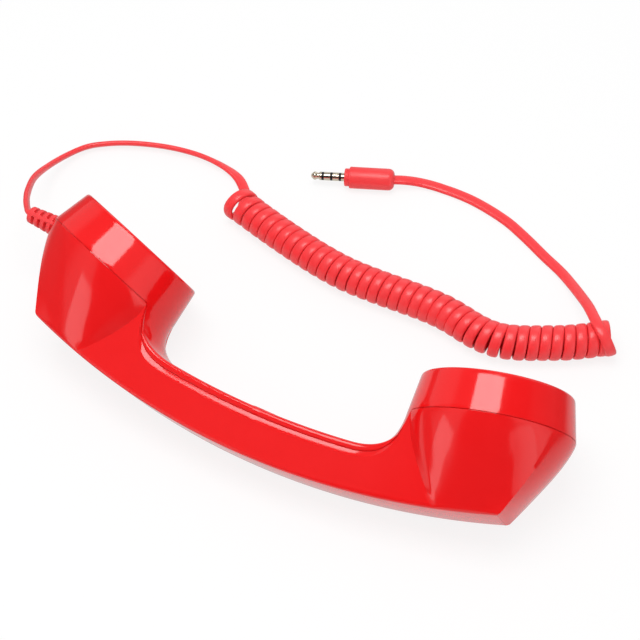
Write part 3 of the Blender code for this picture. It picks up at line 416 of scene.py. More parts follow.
cordPiece, cordLine, cordLength = makeCord()
print("cord:", len(cordLine), "points,", round(cordLength, 4), "m")


# surfaces of the handset, as the moulds give them

def spineHeight(x):
    return handset["spineRadius"] - sqrt(handset["spineRadius"] ** 2 - x ** 2)


def onGrip(x, drop=0.0):
    # a place on the grip's inner face, or that far under it, in the middle plane
    radius = handset["gripTopRadius"]
    return Vector((x, handset["gripDepth"] + radius - sqrt(radius ** 2 - x ** 2) - drop, 0))


def cupCentre(side):
    reach = handset["halfLength"] - handset["cupRadius"] * cos(tilts[side])
    return Vector((side * reach, handset["cupHeight"], 0))


def cupAxis(side):
    return Vector((-side * sin(tilts[side]), cos(tilts[side]), 0))


def cupOutward(side):
    return Vector((side * cos(tilts[side]), sin(tilts[side]), 0))


def cupFrame(side):
    out, axis = cupOutward(side), cupAxis(side)
    matrix = Matrix((out, axis.cross(out), axis)).transposed().to_4x4()
    matrix.translation = cupCentre(side)
    return matrix


def ringPoint(side, angle, height, inset=0.0):
    # angle runs round the cup from its inner side, positive towards the camera's side
    radius = handset["cupRadius"] - inset
    widening = handset["rimRadius"] - handset["cupRadius"]
    radius += widening * max(height, 0) / handset["collarHeight"]
    return (cupCentre(side) + cupAxis(side) * height - cupOutward(side) * radius * cos(angle)
            + Vector((0, 0, radius * sin(angle))))


def sideSlope(side):
    corner = ringPoint(side, cornerAngle, 0)
    return (corner.z - handset["spineHalfWidth"]) / (corner.y - spineHeight(corner.x))


sideSlopes = {1: sideSlope(1), -1: sideSlope(-1)}


def sideWidth(x, y):
    slope = sideSlopes[1 if x > 0 else -1]
    return handset["spineHalfWidth"] + slope * (y - spineHeight(x))


def onSide(point, flip, inset=0.0, back=0.0):
    # the same place in the side view, carried out to the handset's flat side
    return Vector((point.x, point.y, flip * (sideWidth(point.x, point.y) - inset - back)))


def inMiddle(point):
    return Vector((point.x, point.y, 0))


def bezier(start, first, second, end, share):
    rest = 1 - share
    return (start * rest ** 3 + first * 3 * rest ** 2 * share
            + second * 3 * rest * share ** 2 + end * share ** 3)


def roundOver(start, corner, stop, share):
    rest = 1 - share
    return start * rest ** 2 + corner * 2 * share * rest + stop * share ** 2


def gripEnd(side, drop):
    # where the mid grip ends and a neck starts, and the way the grip runs there
    span = handset["gripHalfSpan"]
    slope = span / sqrt(handset["gripTopRadius"] ** 2 - span ** 2)
    return onGrip(side * span, drop), Vector((side, slope, 0)).normalized()


def neckCurve(side, angle, share):
    # from the end of the mid grip up to the collar, tangent to both
    top = ringPoint(side, angle, halfGap + handset["seamRound"])
    leanIn = (ringPoint(side, angle, handset["collarHeight"]) - top).normalized()
    foot, along = gripEnd(side, 0)
    top = inMiddle(top)
    reach = (top - foot).length * handset["neckPull"]
    return bezier(foot, foot + along * reach, top - inMiddle(leanIn) * reach, top, share)


def seamPoint(side, share, x):
    if x is not None:
        return onGrip(x, handset["stripDepth"])
    start, along = gripEnd(side, handset["stripDepth"])
    end = inMiddle(ringPoint(side, cornerAngle, 0))
    reach = (end - start).length * handset["neckPull"]
    rise = Vector((side * handset["seamLean"], 1, 0)).normalized()
    first = start + along * reach * handset["seamPull"]
    return bezier(start, first, end - rise * reach, end, share)


def spinePlace(side, share, x):
    if x is None:
        span = handset["gripHalfSpan"]
        x = side * (span + (handset["footInner"] - span) * share)
    return Vector((x, spineHeight(x), 0))


def seamGap(side, share, x):
    down = spinePlace(side, share, x) - seamPoint(side, share, x)
    return down.normalized() * handset["groove"] / 2


counts = dict(
    neck=10, ridge=3, end=33, rest=42, stations=121, midGrip=0.6,
    collarRows=8, levels=26, round=6,
)
neckEnd = counts["neck"]
lastColumn = neckEnd + counts["rest"]
ridgeColumn = neckEnd + counts["ridge"]
endColumn = neckEnd + counts["end"]


def station(step):
    # step runs -1..1: the inner share is the mid grip, the rest on each side is a neck
    side, size, share = 1 if step >= 0 else -1, abs(step), counts["midGrip"]
    if size <= share:
        return side, 0.0, side * handset["gripHalfSpan"] * size / share
    return side, (size - share) / (1 - share), None


lastStation = counts["stations"] - 1
stations = [station(-1 + 2 * row / lastStation) for row in range(lastStation + 1)]


def columnAngle(column):
    turn, angle = abs(column), cornerAngle
    if turn <= neckEnd:
        angle = angle * turn / neckEnd
    else:
        angle += (pi - angle) * (turn - neckEnd) / counts["rest"]
    return angle if column >= 0 else -angle


# a moulding's rounded lip: how far along the wall and how far back, in lip sizes
seamLip = ((1.0, 0.0), (0.6, 0.08), (0.3, 0.3), (0.08, 0.6), (0.0, 1.0))


def frontHalfSection(side, share, x):
    fade = 1 - share ** 3
    inset = handset["bandInset"] * fade
    columns = [neckCurve(side, columnAngle(column), share) if x is None else onGrip(x)
               for column in range(neckEnd + 1)]
    edge = columns[-1]
    edgeWidth = sideWidth(edge.x, edge.y) - inset
    corner = sin(cornerAngle)
    room = (edgeWidth - handset["edgeRound"] * fade * handset["edgeRoom"]) / edgeWidth
    squeeze = min(1, room * corner / sin(columnAngle(neckEnd - 1)))
    for column, point in enumerate(columns):
        point.z = edgeWidth * sin(columnAngle(column)) / corner * squeeze
    edge = columns.pop()
    edge.z = edgeWidth
    steps, soft = counts["round"], handset["seamRound"]
    if share == 1:
        lip = [ringPoint(side, cornerAngle, halfGap + soft * up, soft * back)
               for up, back in seamLip]
        return columns + [lip[0]] * (steps + 1) + lip
    gap = seamGap(side, share, x)
    top, down = seamPoint(side, share, x) - gap, gap.normalized()
    lip = [onSide(top - down * soft * up, 1, inset, soft * back) for up, back in seamLip]
    drop = lip[0] - edge
    reach = min(handset["edgeRound"] * fade, drop.length * handset["edgeShare"])
    start = edge + (columns[-1] - edge).normalized() * reach
    stop = edge + drop.normalized() * reach
    rounded = [roundOver(start, edge, stop, step / steps) for step in range(steps + 1)]
    return columns + rounded + lip


def mirrored(half, column, middle):
    point = half[abs(column - middle)].copy()
    if column < middle:
        point.z = -point.z
    return point


# front shell: grip's inner face, necks and collars

def makeFrontShell():
    middle = neckEnd + counts["round"] + len(seamLip)
    sections = [frontHalfSection(*facts) for facts in stations]
    grip = gridPiece("frontShell", 2 * middle + 1, len(stations),
                     lambda column, row: mirrored(sections[row], column, middle))
    soft, top = handset["seamRound"], handset["collarHeight"]
    profile = [(halfGap + soft * up, soft * back) for up, back in reversed(seamLip)]
    start, stop = profile[-1][0], top - handset["rimRound"]
    for row in range(1, counts["collarRows"] + 1):
        profile.append((start + (stop - start) * row / counts["collarRows"], 0))
    for turn in quarterTurns:
        profile.append((stop + handset["rimRound"] * sin(turn),
                        handset["rimRound"] * (1 - cos(turn))))
    inner, soft = handset["rimRound"] + handset["rimFlat"], handset["rimBreak"]
    profile += [(top, inner), (top - soft, inner + soft)]
    profile.append((top - handset["rimInside"], inner + soft))
    collars = []
    for side in (1, -1):
        def collarPoint(column, row):
            turn = column - lastColumn
            if row < len(seamLip) - 1 and abs(turn) < neckEnd:
                row = len(seamLip) - 1
            return ringPoint(side, columnAngle(turn), *profile[row])

        collars.append(gridPiece("collar", 2 * lastColumn + 1, len(profile), collarPoint))
    joinPieces([grip, *collars])
    tidyMesh(grip)
    return grip


def bow(amount, share):
    return amount * sin(pi * share ** handset["bowSkew"])


def creasePoint(side, share):
    corner = ringPoint(side, cornerAngle, -halfGap)
    point = inMiddle(corner).lerp(spinePlace(side, 1, None), share)
    point.x -= side * bow(handset["creaseBow"], share)
    return point


def footEdge(side, column, share):
    # the last part of each line down the wall rolls over onto the foot
    size = handset["spineRound"]
    corner = wallPoint(side, column, 1)
    start = corner + (wallPoint(side, column, 0.9) - corner).normalized() * size
    stop = corner.copy()
    stop.z = (1 if column >= 0 else -1) * max(0, abs(stop.z) - size)
    if abs(column) >= endColumn:
        stop.x -= side * size
        stop.y = spineHeight(stop.x)
    return roundOver(start, corner, stop, share)


def wallPoint(side, column, share):
    # the cup's back wall, from the seam ring down to the edge of its foot
    turn, flip = abs(column), 1 if column >= 0 else -1
    top = ringPoint(side, columnAngle(column), -halfGap)
    if share == 0:
        return top
    if turn < ridgeColumn:
        edge = onSide(creasePoint(side, share), flip)
        if turn == neckEnd:
            return edge
        # up to the ridge the wall bulges as the ring does, less and less to the foot
        mix = (turn - neckEnd) / (ridgeColumn - neckEnd)
        ridge = flip * ridgeColumn
        chord = ringPoint(side, columnAngle(flip * neckEnd), 0).lerp(
            ringPoint(side, columnAngle(ridge), 0), mix)
        lift = ringPoint(side, columnAngle(column), 0) - chord
        return edge.lerp(wallPoint(side, ridge, share), mix) + lift * (1 - share) ** 2
    inner, outer = handset["footInner"] + handset["spineRound"], handset["footOuter"]
    if turn <= endColumn:
        along = (turn - ridgeColumn) / (endColumn - ridgeColumn)
        footX, footZ = inner + (outer - inner) * along, handset["spineHalfWidth"]
        first, front, last = [handset[name] for name in ("ridgeBow", "frontBow", "endBow")]
        swell = first + (front - first) * min(1, along * 4)
        swell += (last - front) * max(0, along * 4 - 3)
    else:
        along = (turn - endColumn) / (lastColumn - endColumn)
        footX, footZ = outer, handset["spineHalfWidth"] * (1 - along)
        swell = handset["endBow"]
    foot = Vector((side * footX, spineHeight(footX), flip * footZ))
    outward = (top - cupCentre(side)).normalized()
    return top.lerp(foot, share) + outward * bow(swell, share)


# back shell: spine, flat sides and cup bodies

def makeBackShell():
    lips, rolls, lastLevel = len(seamLip), counts["round"], counts["levels"] - 1
    soft, size = handset["seamRound"], handset["spineRound"]

    def sidePoint(flip, column, row):
        side, share, x = stations[column]
        if column in (0, lastStation):
            return cupWall(side, flip * neckEnd, row)
        seam, gap = seamPoint(side, share, x), seamGap(side, share, x)
        base, down, fade = spinePlace(side, share, x), gap.normalized(), 1 - share ** 3
        if row < lips:
            up, back = seamLip[lips - 1 - row]
            inset = handset["bandInset"] * fade
            return onSide(seam + gap + down * soft * up, flip, inset, soft * back)
        last = base + (seam - base).normalized() * size
        if row >= lips + lastLevel:
            return roundOver(onSide(last, flip), onSide(base, flip), onSide(base, flip, size),
                             (row - lips - lastLevel) / (rolls + 1))
        first = seam + gap + down * (handset["bandWidth"] * fade + handset["bandEnd"] * (1 - fade))
        point = first.lerp(last, (row - lips) / lastLevel)
        if x is None:
            along = (seam - point).length / (seam - base).length
            point.x -= side * bow(handset["creaseBow"], along) * share ** 2
        return onSide(point, flip)

    def cupWall(side, column, row):
        if row < lips:
            up, back = seamLip[lips - 1 - row]
            point = wallPoint(side, column, soft * up / handset["wallLength"])
            return point + (cupCentre(side) - point).normalized() * soft * back
        if row >= lips + lastLevel:
            return footEdge(side, column, (row - lips - lastLevel) / (rolls + 1))
        t, first = (row - lips) / lastLevel, handset["wallStart"]
        long = (wallPoint(side, column, 0) - wallPoint(side, column, 1)).length
        return wallPoint(side, column, first + (1 - size / long - first) * t)

    lastRow = lips + lastLevel + rolls + 1
    pieces = []
    for flip in (1, -1):
        pieces.append(gridPiece("backShell", len(stations), lastRow + 1,
                                lambda column, row: sidePoint(flip, column, row)))
    pieces.append(gridPiece("spineBand", len(stations), 2,
                            lambda column, row: sidePoint(1 if row else -1, column, lastRow)))
    columns = lastColumn - neckEnd
    for side in (1, -1):
        def cupPoint(column, row):
            turn = neckEnd + column
            if turn > lastColumn:
                turn -= 2 * lastColumn
            return cupWall(side, turn, row)

        def footPoint(column, row):
            turn = neckEnd + column
            return cupWall(side, turn if row else -turn, lastRow)

        pieces.append(gridPiece("cupBody", 2 * columns + 1, lastRow + 1, cupPoint))
        pieces.append(gridPiece("foot", columns + 1, 2, footPoint))
    shell = joinPieces(pieces)
    tidyMesh(shell)
    return shell


def makeSeamTongue():
    # the inner lip that bridges the seam all the way round, just inside both shells
    deep, tall, below = handset["tongueDepth"], handset["tongueHeight"], handset["tongueBelow"]

    def ringPair(side, turn):
        return [ringPoint(side, columnAngle(turn), height, deep) for height in (-below, tall)]

    def stripPair(flip, step):
        side, share, x = station(step)
        seam, gap = seamPoint(side, share, x), seamGap(side, share, x).normalized()
        edge = neckCurve(side, cornerAngle, share) if x is None else onGrip(x)
        room = min(tall, (edge - seam).length * handset["tongueRoom"])
        inset = handset["bandInset"] * (1 - share ** 3) + deep
        return [onSide(seam + gap * far, flip, inset) for far in (tall, -room)]

    turns = [*range(neckEnd, lastColumn), *range(-lastColumn, 1 - neckEnd)]
    steps = [1 - 2 * number / lastStation for number in range(1, lastStation)]
    ring = [ringPair(1, turn) for turn in turns]
    ring += [stripPair(-1, step) for step in steps]
    ring += [ringPair(-1, -turn) for turn in turns]
    ring += [stripPair(1, -step) for step in steps]
    ring.append(ring[0])
    tongue = gridPiece("seamTongue", 2, len(ring), lambda column, row: ring[row][column])
    solid = tongue.modifiers.new("wall", "SOLIDIFY")
    solid.thickness = handset["tongueWall"]
    solid.offset = 0
    tidyMesh(tongue)
    applyAll(tongue)
    return finishPiece(tongue, layDown, 30)


def addCutter(radius, low, high, x, y, sides=24):
    deselectAll()
    bpy.ops.mesh.primitive_cylinder_add(vertices=sides, radius=radius, depth=high - low,
                                        location=(x, y, (low + high) / 2))
    return bpy.context.object


def joinPieces(pieces):
    pickOnly(*pieces)
    bpy.ops.object.join()
    settle(pieces[0])
    return pieces[0]


def cutWith(piece, cutter, operation="DIFFERENCE"):
    change = piece.modifiers.new("cut", "BOOLEAN")
    change.operation = operation
    change.solver = "EXACT"
    change.object = cutter
    applyAll(piece)
    bpy.data.objects.remove(cutter)


# the answer button on the grip's inner face, which faces away in the photo
buttonFacts = dict(
    length=0.012, width=0.0064, rise=0.001, foot=0.0016, footGap=0.001,
    round=0.0005, slotGap=0.0003, slotDepth=0.0035, slotTop=0.002, sides=48,
)
gripFaceFrame = Matrix.Rotation(-pi / 2, 4, "X")
gripFaceFrame.translation = Vector((0, handset["gripDepth"], 0))


def makeLongRound(length, width, low, top):
    # a bar with round ends: two cylinders and a box made one
    ends = [addCutter(width / 2, low, top, side * (length - width) / 2, 0, buttonFacts["sides"])
            for side in (-1, 1)]
    settle(ends[0])
    deselectAll()
    bpy.ops.mesh.primitive_cube_add(size=1, location=(0, 0, (low + top) / 2))
    bar = bpy.context.object
    bar.scale = (length - width, width, top - low)
    settle(bar)
    cutWith(ends[0], ends[1], "UNION")
    cutWith(ends[0], bar, "UNION")
    return ends[0]


def cutButtonSlot(shell):
    gap = buttonFacts["slotGap"] * 2
    cutter = makeLongRound(buttonFacts["length"] + gap, buttonFacts["width"] + gap,
                           -buttonFacts["slotDepth"], buttonFacts["slotTop"])
    place(cutter, gripFaceFrame)
    cutWith(shell, cutter)


def makeButton():
    low = -handset["wall"] - buttonFacts["foot"] + buttonFacts["footGap"]
    button = makeLongRound(buttonFacts["length"], buttonFacts["width"], low, buttonFacts["rise"])
    button.name = "answerButton"
    roundEdges(button, buttonFacts["round"], 4, 60)
    return finishPiece(button, layDown @ gripFaceFrame, 35)


frontShell = makeFrontShell()
cutButtonSlot(frontShell)
finishPiece(frontShell, layDown, 24)
backShell = finishPiece(makeBackShell(), layDown, 24)
seamTongue = makeSeamTongue()
print("shells:", len(frontShell.data.polygons), len(backShell.data.polygons))


# caps in the two mouths
capFacts = dict(
    recess=0.0006, thickness=0.0022, wallGap=0.0025, backBreak=0.0002,
    edgeRound=0.0006, holeRadius=0.001, holeRound=0.00025, holePitch=0.005,
    holeRows=2, holeSpare=0.002, sides=96,
)


def makeCap(side, name):
    facts = capFacts
    top = handset["collarHeight"] - facts["recess"]
    radius = handset["rimRadius"] - facts["wallGap"]
    soft, low, spare = facts["edgeRound"], top - facts["thickness"], facts["holeSpare"]
    steps = [(radius - facts["backBreak"], low), (radius, low + facts["backBreak"]),
             (radius, top - soft)]
    steps += [(radius - soft * (1 - cos(turn)), top - soft * (1 - sin(turn)))
              for turn in quarterTurns]
    cap = turned(name, steps, facts["sides"])
    cutters = [addCutter(facts["holeRadius"], low - spare, top + spare, 0, 0)]
    for row in range(1, facts["holeRows"] + 1):
        for step in range(6 * row):
            angle, far = 2 * pi * step / (6 * row), row * facts["holePitch"]
            cutters.append(addCutter(facts["holeRadius"], low - spare, top + spare,
                                     far * cos(angle), far * sin(angle)))
    cutWith(cap, joinPieces(cutters))
    roundEdges(cap, facts["holeRound"], 2, 50)
    smooth(cap, 40)
    # or the face with its holes is shaded like a star
    evened = cap.modifiers.new("flat face", "WEIGHTED_NORMAL")
    evened.keep_sharp = True
    evened.weight = 90
    applyAll(cap)
    place(cap, layDown @ cupFrame(side))
    return cap


earCap = makeCap(1, "earCap")
mouthCap = makeCap(-1, "mouthCap")
answerButton = makeButton()
print("caps and button made")


# strain relief: a tapered sleeve, slots cut in from both sides up to a web
reliefFacts = dict(
    length=0.0146, baseRadius=0.0043, baseRound=0.0004, base=0.0003,
    tipRadius=0.0034, tipRound=0.0005, neckRadius=0.0034, neckLength=0.0047,
    slots=4, pitch=0.0031, slotWidth=0.0013, slotCutter=(0.008, 0.02),
    web=0.0008, first=0.0023, edgeRound=0.0002, sides=40,
)


def makeRelief():
    facts, length = reliefFacts, reliefFacts["length"]
    base, soft, tip = facts["base"], facts["baseRound"], facts["tipRadius"]
    relief = turned("strainRelief", [
        (facts["neckRadius"], -facts["neckLength"]), (facts["neckRadius"], base),
        (facts["baseRadius"] - soft, base), (facts["baseRadius"], base + soft),
        (tip, length - facts["tipRound"]), (tip - 0.0002, length - 0.0001),
        (tip - facts["tipRound"], length)], facts["sides"])
    deep, across = facts["slotCutter"]
    cutters = []
    for step in range(facts["slots"]):
        for turn in (1, -1):
            spot = (turn * (facts["web"] + deep / 2), 0, facts["first"] + step * facts["pitch"])
            deselectAll()
            bpy.ops.mesh.primitive_cube_add(size=1, location=spot)
            slot = bpy.context.object
            slot.scale = (deep, across, facts["slotWidth"])
            cutters.append(slot)
    cutWith(relief, joinPieces(cutters))
    roundEdges(relief, facts["edgeRound"], 2, 40)
    alongAxis = Matrix(((0, 0, 1, 0), (1, 0, 0, 0), (0, 1, 0, 0), (0, 0, 0, 1)))
    return finishPiece(relief, reliefFrame() @ alongAxis, 35)


strainRelief = makeRelief()


# plug: moulded barrel and the jack's contacts, all turned round one line
barrelFacts = dict(
    noseRadius=0.0037, noseLength=0.002, noseRound=0.0004, noseStep=0.0001,
    noseBreak=0.0002, faceRadius=0.0019, rearRound=0.0024, jackRadius=0.00175,
    contactGap=0.0001, contactRound=0.00006, spacerSink=0.00003, tipLength=0.0044,
    ringLength=0.0026, spacerLength=0.001, sleeveHidden=0.0008, sides=48,
)
# the jack's pointed end with its catch groove, as (radius, distance from the tip)
tipProfile = [
    (0.0003, 0), (0.0008, 0.0002), (0.0014, 0.0009), (0.00172, 0.0014), (0.00174, 0.0017),
    (0.0015, 0.0022), (0.00125, 0.0029), (0.00128, 0.0032), (0.0016, 0.0035),
    (0.00175, 0.0037),
]
plugFrame = Matrix.Rotation(atan2(-plugAlong.y, -plugAlong.x), 4, "Z")
plugFrame = plugFrame @ Matrix.Rotation(pi / 2, 4, "Y")
plugFrame.translation = plugRear + plugAlong * (plug["barrelLength"] + plug["jackLength"])


def makeTurnedPiece(name, steps, degrees=30):
    return finishPiece(turned(name, steps, barrelFacts["sides"]), plugFrame, degrees)


def makePlug():
    facts, start = barrelFacts, plug["jackLength"]
    end, face = start + plug["barrelLength"], start + facts["noseLength"]
    radius, nose, soft = plug["barrelRadius"], facts["noseRadius"], facts["noseRound"]

    def frontRound(edge, front):
        return [(edge - soft * (1 - sin(a)), front + soft * (1 - cos(a)))
                for a in (0.5, 1.0, pi / 2)]

    steps = [(facts["faceRadius"], start), (nose - soft, start)] + frontRound(nose, start)
    steps += [(nose, face - facts["noseBreak"]), (nose + facts["noseStep"], face)]
    rear = facts["rearRound"]
    steps += [(radius - soft, face)] + frontRound(radius, face) + [(radius, end - rear)]
    steps += [(radius - rear * (1 - cos(a)), end - rear * (1 - sin(a)))
              for a in (0.3, 0.6, 0.9, 1.2, pi / 2)]
    return makeTurnedPiece("plugBarrel", steps, 35)


def makeContacts():
    facts = barrelFacts
    radius, gap, face = facts["jackRadius"], facts["contactGap"], facts["tipLength"]
    soft, sunk = facts["contactRound"], radius - facts["spacerSink"]
    contacts = {"jack_tip": makeTurnedPiece("jackTip", tipProfile + [(radius, face)])}
    for number in (1, 2, 3):
        stop = face + facts["spacerLength"] - gap
        contacts["jack_spacer_%d" % number] = makeTurnedPiece("jackSpacer%d" % number, [
            (radius - soft, face + gap), (sunk, face + gap * 2), (sunk, stop - gap),
            (radius - soft, stop)])
        face += facts["spacerLength"]
        if number < 3:
            stop = face + facts["ringLength"]
            contacts["jack_ring_%d" % number] = makeTurnedPiece("jackRing%d" % number, [
                (radius - soft, face), (radius, face + soft), (radius, stop - soft),
                (radius - soft, stop)])
            face = stop
    contacts["jack_sleeve"] = makeTurnedPiece("jackSleeve", [
        (radius - soft, face), (radius, face + soft),
        (radius, plug["jackLength"] + facts["sleeveHidden"])])
    return contacts


plugBarrel = makePlug()
contacts = makeContacts()
print("plug made")


# materials: each starts from the real stuff and the way its surface was made. The values are
# two colours, roughness and its spread, grain and relief in mm, refraction (none for a metal)
finishes = dict(
    # ABS moulded against a polished tool: deep gloss, a slow waviness softens what it mirrors
    polishedRedAbs=("#E71214", "#EB1518", 0.1, 0.02, 9.0, 0.003, 1.54),
    # soft PVC drawn through a die: satin, its fine grain drawn as coarse as it needs to show
    extrudedRedPvc=("#F2373B", "#F73F44", 0.33, 0.04, 0.6, 0.002, 1.53),
    # soft PVC moulded over the cable's ends: a little duller from the tool's spark texture
    mouldedRedPvc=("#F1383C", "#F54044", 0.38, 0.05, 0.4, 0.004, 1.53),
    # nickel plate on turned brass: a warm grey mirror, slightly uneven
    nickelPlate=("#E8DEC9", "#DDD2BC", 0.17, 0.04, 0.5, 0.001, None),
    # acetal spacers between the contacts: plain black with a low sheen
    blackAcetal=("#0E0E0F", "#151517", 0.38, 0.05, 0.3, 0.002, 1.48),
    # unpainted ABS of the inner frame: grey, moulded on a dull tool
    greyAbs=("#5B5E61", "#65686B", 0.5, 0.06, 0.5, 0.006, 1.54),
    # pressed ferrite magnet: dull charcoal with a sandy grain
    ferrite=("#2B2A2B", "#3A3839", 0.62, 0.08, 0.35, 0.01, 1.5),
    # receiver cone of thin polyester film: dark, smooth and slightly shiny
    coneFilm=("#1C1E22", "#25282D", 0.28, 0.05, 1.2, 0.006, 1.6),
    # closed-cell foam gasket: black, dull, full of small cells
    foam=("#1B1B1B", "#2C2C2C", 0.92, 0.05, 0.7, 0.09, 1.5),
    # drawn aluminium can of the microphone: pale metal, drawing marks up its wall
    drawnAluminium=("#D2D4D6", "#C3C6C9", 0.32, 0.06, 0.4, 0.002, None, (1, 1, 0.1)),
    # rubber boot: soft black with a powdery surface
    rubber=("#151515", "#1E1E1E", 0.75, 0.06, 0.3, 0.008, 1.52),
    # glass-fibre circuit board under green mask: slight weave, glossy lacquer
    circuitBoard=("#14532F", "#1B6239", 0.3, 0.06, 0.8, 0.01, 1.55),
    # zinc-plated steel screws: bluish bright metal, a little cloudy
    zincPlate=("#C9CED6", "#B6BCC6", 0.28, 0.07, 0.6, 0.002, None),
    # cold-rolled steel weight: darker grey with rolling streaks along it
    rolledSteel=("#8C8E90", "#787A7D", 0.42, 0.08, 0.5, 0.003, None, (0.06, 1, 1)),
    # nylon plunger: off-white, waxy
    nylon=("#E6E2D6", "#DCD7C8", 0.45, 0.05, 0.6, 0.004, 1.53),
)
# what each solid of the CAD is made of, as is the finer piece that stands in for it
nodeFinishes = dict(
    polishedRedAbs="front_shell back_shell ear_cap mouth_cap answer_button",
    extrudedRedPvc="tail_cord coil_cord plug_lead",
    mouldedRedPvc="strain_relief plug_barrel",
    nickelPlate="jack_tip jack_ring_1 jack_ring_2 jack_sleeve",
    blackAcetal="jack_spacer_1 jack_spacer_2 jack_spacer_3",
    greyAbs="receiver_frame switch_body",
    ferrite="receiver_magnet",
    coneFilm="receiver_diaphragm",
    foam="receiver_gasket",
    drawnAluminium="microphone_capsule",
    rubber="microphone_boot",
    circuitBoard="switch_board",
    zincPlate="board_screw_1 board_screw_2 "
              "shell_screw_1 shell_screw_2 shell_screw_3 shell_screw_4",
    rolledSteel="ballast_bar",
    nylon="switch_plunger",
)


def newFinish(name, first, second, roughness, spread, grainMm, bumpMm, ior, stretch=(1, 1, 1)):
    # grain of one real size gives the colour's drift, the roughness's drift and the relief
    material, shader = newMaterial(name)
    where = addNode(material, "TexCoord").outputs["Object"]
    scale = [part * 1000 / grainMm for part in stretch]
    sized = addNode(material, "Mapping", {"Vector": where}, {"Scale": scale}).outputs["Vector"]
    grain = addNode(material, "TexNoise", {"Vector": sized}, {"Scale": 1.0, "Detail": 2.0})
    grain = grain.outputs[0]
    tone = addNode(material, "Mix", {0: grain}, {6: toLinear(first), 7: toLinear(second)},
                   data_type="RGBA")
    sheen = addNode(material, "MapRange", {0: grain},
                    {3: roughness - spread, 4: roughness + spread})
    relief = addNode(material, "Bump", {"Height": grain},
                     {"Strength": 1.0, "Distance": bumpMm / 1000})
    if ior:
        shader.inputs["IOR"].default_value = ior
    else:
        shader.inputs["Metallic"].default_value = 1.0
    for name, output in (("Base Color", tone.outputs[2]), ("Roughness", sheen.outputs[0]),
                         ("Normal", relief.outputs[0])):
        material.node_tree.links.new(output, shader.inputs[name])
    return material


materials = {name: newFinish(name, *facts) for name, facts in finishes.items()}
madeOf = {node: materials[name] for name, nodes in nodeFinishes.items() for node in nodes.split()}
standIns = {
    "front_shell": frontShell, "back_shell": backShell, "ear_cap": earCap, "mouth_cap": mouthCap,
    "strain_relief": strainRelief, "plug_barrel": plugBarrel, **contacts,
}
for node, piece in standIns.items():
    dress(piece, madeOf[node])
    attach(piece, "handset")
    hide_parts(node)
dress(answerButton, materials["polishedRedAbs"])
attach(answerButton, "answer_button")
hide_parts("answer_button")
dress(seamTongue, materials["polishedRedAbs"])
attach(seamTongue, "handset")
dress(cordPiece, materials["extrudedRedPvc"])
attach(cordPiece, "handset")
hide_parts("tail_cord", "coil_cord", "plug_lead")
for node, material in madeOf.items():
    dress(bpy.data.objects[node], material)
print("materials on")


# floor, background and studio light
studio = dict(
    background="#FFFFFF", fill=0.6, floorGlow=0.85, floorSize=8, floorGrey=0.9,
    # painted glow of the sheet, seen only in the gloss: near the object, and further than its
    # reach
    sheetNear=0.68, sheetFar=0.15, sheetReach=0.19, sheetFade=0.08,
    # how bright the room's walls are, by compass angle in degrees
    walls=(
        (-180, 0.45), (-170, 0.2), (-152, 0.2), (-138, 0.5), (-124, 0.6), (-112, 0.55),
        (-107, 0.15), (-100, 0.08), (-52, 0.08), (-44, 0.15), (-36, 0.55), (-12, 0.95),
        (8, 0.7), (24, 0.16), (46, 0.22), (62, 0.8), (78, 0.9), (108, 1.2), (122, 0.6),
        (140, 0.35), (160, 0.6), (180, 0.6)),
    # how much of that is left overhead, and where the change is, by the direction's height
    ceiling=0.45, ceilingFrom=0.62, ceilingFade=0.18,
    # name: (middle, what it faces, width, height, how bright its face is, its turn in degrees)
    softboxes=dict(
        overhead=((-0.045, -0.02, 0.85), (-0.045, -0.02, 0), 0.53, 0.44, 6.0, 11),
        frontLeft=((-0.62, -1.08, 0.16), (0, 0, 0.03), 0.42, 0.3, 1.25, 0),
        frontRight=((1.02, -0.62, 0.22), (0, 0, 0.03), 0.56, 0.44, 0.5, 0),
    ),
)


def makeStage():
    deselectAll()
    bpy.ops.mesh.primitive_plane_add(size=studio["floorSize"], location=(0, 0, 0))
    floor = bpy.context.object
    floor.name = "floor"
    paper, paperShader = newMaterial("whitePaperWithGlow")
    paperShader.inputs["Base Color"].default_value = (*[studio["floorGrey"]] * 3, 1)
    paperShader.inputs["Roughness"].default_value = 0.9
    # painted light: the floor glows, fully in the gloss and brighter near the object, and mostly
    # to the eye so it looks evenly white; other rays see only the paper
    path = addNode(paper, "LightPath")
    where = addNode(paper, "TexCoord")
    away = addNode(paper, "VectorMath", {0: where.outputs["Object"]}, operation="LENGTH")
    reach, soft = studio["sheetReach"], studio["sheetFade"] / 2
    mirrored = addNode(paper, "MapRange", {0: away.outputs["Value"]},
                       {1: reach - soft, 2: reach + soft, 3: studio["sheetNear"],
                        4: studio["sheetFar"]}, interpolation_type="SMOOTHSTEP")
    strength = addNode(paper, "Mix", {0: path.outputs["Is Camera Ray"], 2: mirrored},
                       {3: 1.0}, data_type="FLOAT")
    glow = addNode(paper, "Emission", {1: strength}, {"Color": (1, 1, 1, 1)})
    seen = addNode(paper, "Math", {0: path.outputs["Is Camera Ray"]}, {1: studio["floorGlow"]},
                   operation="MULTIPLY")
    amount = addNode(paper, "Math", {0: path.outputs["Is Glossy Ray"], 1: seen}, operation="ADD")
    mix = addNode(paper, "MixShader", {0: amount, 1: paperShader, 2: glow})
    surface = paper.node_tree.nodes["Material Output"].inputs["Surface"]
    paper.node_tree.links.new(mix.outputs[0], surface)
    dress(floor, paper)


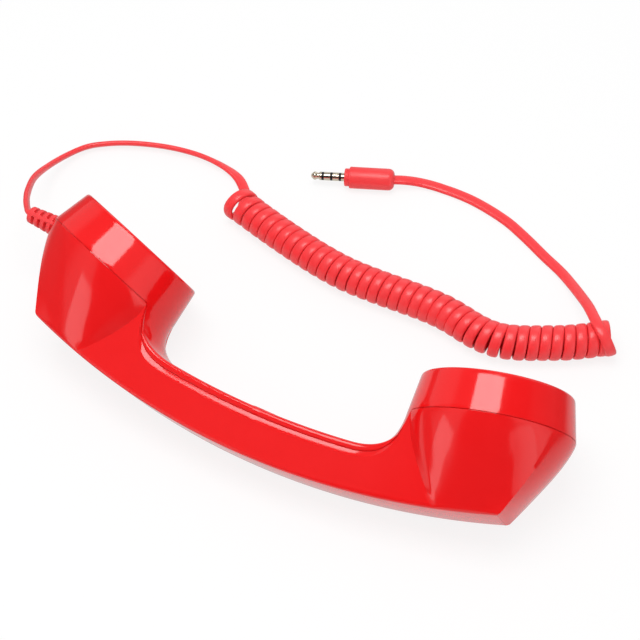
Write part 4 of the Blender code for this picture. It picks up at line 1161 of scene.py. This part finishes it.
def makeWorld():
    # white to the eye, a soft fill on the object, and for gloss a room with uneven walls
    world = bpy.data.worlds.new("studio")
    bpy.context.scene.world = world
    world.use_nodes = True
    background = world.node_tree.nodes["Background"]
    path = addNode(world, "LightPath")
    where = addNode(world, "TexCoord")
    split = addNode(world, "SeparateXYZ", {0: where.outputs["Generated"]})
    compass = addNode(world, "Math", {0: split.outputs[1], 1: split.outputs[0]},
                      operation="ARCTAN2")
    turn = addNode(world, "MapRange", {0: compass}, {1: -pi, 2: pi})
    walls = addNode(world, "ValToRGB", {0: turn})
    stops = walls.color_ramp.elements
    while len(stops) > 1:
        stops.remove(stops[-1])
    for number, (degrees, brightness) in enumerate(studio["walls"]):
        stop = stops[0] if number == 0 else stops.new((degrees + 180) / 360)
        stop.position = (degrees + 180) / 360
        stop.color = (brightness, brightness, brightness, 1)
    high, soft = studio["ceilingFrom"], studio["ceilingFade"] / 2
    overhead = addNode(world, "MapRange", {0: split.outputs[2]},
                       {1: high - soft, 2: high + soft, 3: 1, 4: studio["ceiling"]},
                       interpolation_type="SMOOTHSTEP")
    mirrored = addNode(world, "Math", {0: walls, 1: overhead}, operation="MULTIPLY")
    room = addNode(world, "Mix", {0: path.outputs["Is Glossy Ray"], 3: mirrored},
                   {2: studio["fill"]}, data_type="FLOAT")
    seen = addNode(world, "Mix", {0: path.outputs["Is Camera Ray"], 2: room}, {3: 1.0},
                   data_type="FLOAT")
    background.inputs["Color"].default_value = toLinear(studio["background"])
    world.node_tree.links.new(seen.outputs[0], background.inputs["Strength"])


def addSoftbox(name, centre, target, width, height, brightness, turn):
    deselectAll()
    bpy.ops.object.light_add(type="AREA", location=centre)
    lamp = bpy.context.object
    lamp.name = name
    lamp.data.shape = "RECTANGLE"
    lamp.data.size = width
    lamp.data.size_y = height
    lamp.data.energy = brightness * pi * width * height
    aim = (Vector(target) - Vector(centre)).to_track_quat("-Z", "Y")
    lamp.rotation_euler = (aim @ Quaternion((0, 0, 1), radians(turn))).to_euler()


makeStage()
makeWorld()
for name, settings in studio["softboxes"].items():
    addSoftbox(name, *settings)
bpy.context.scene.view_settings.view_transform = "Standard"
print("stage and light set")
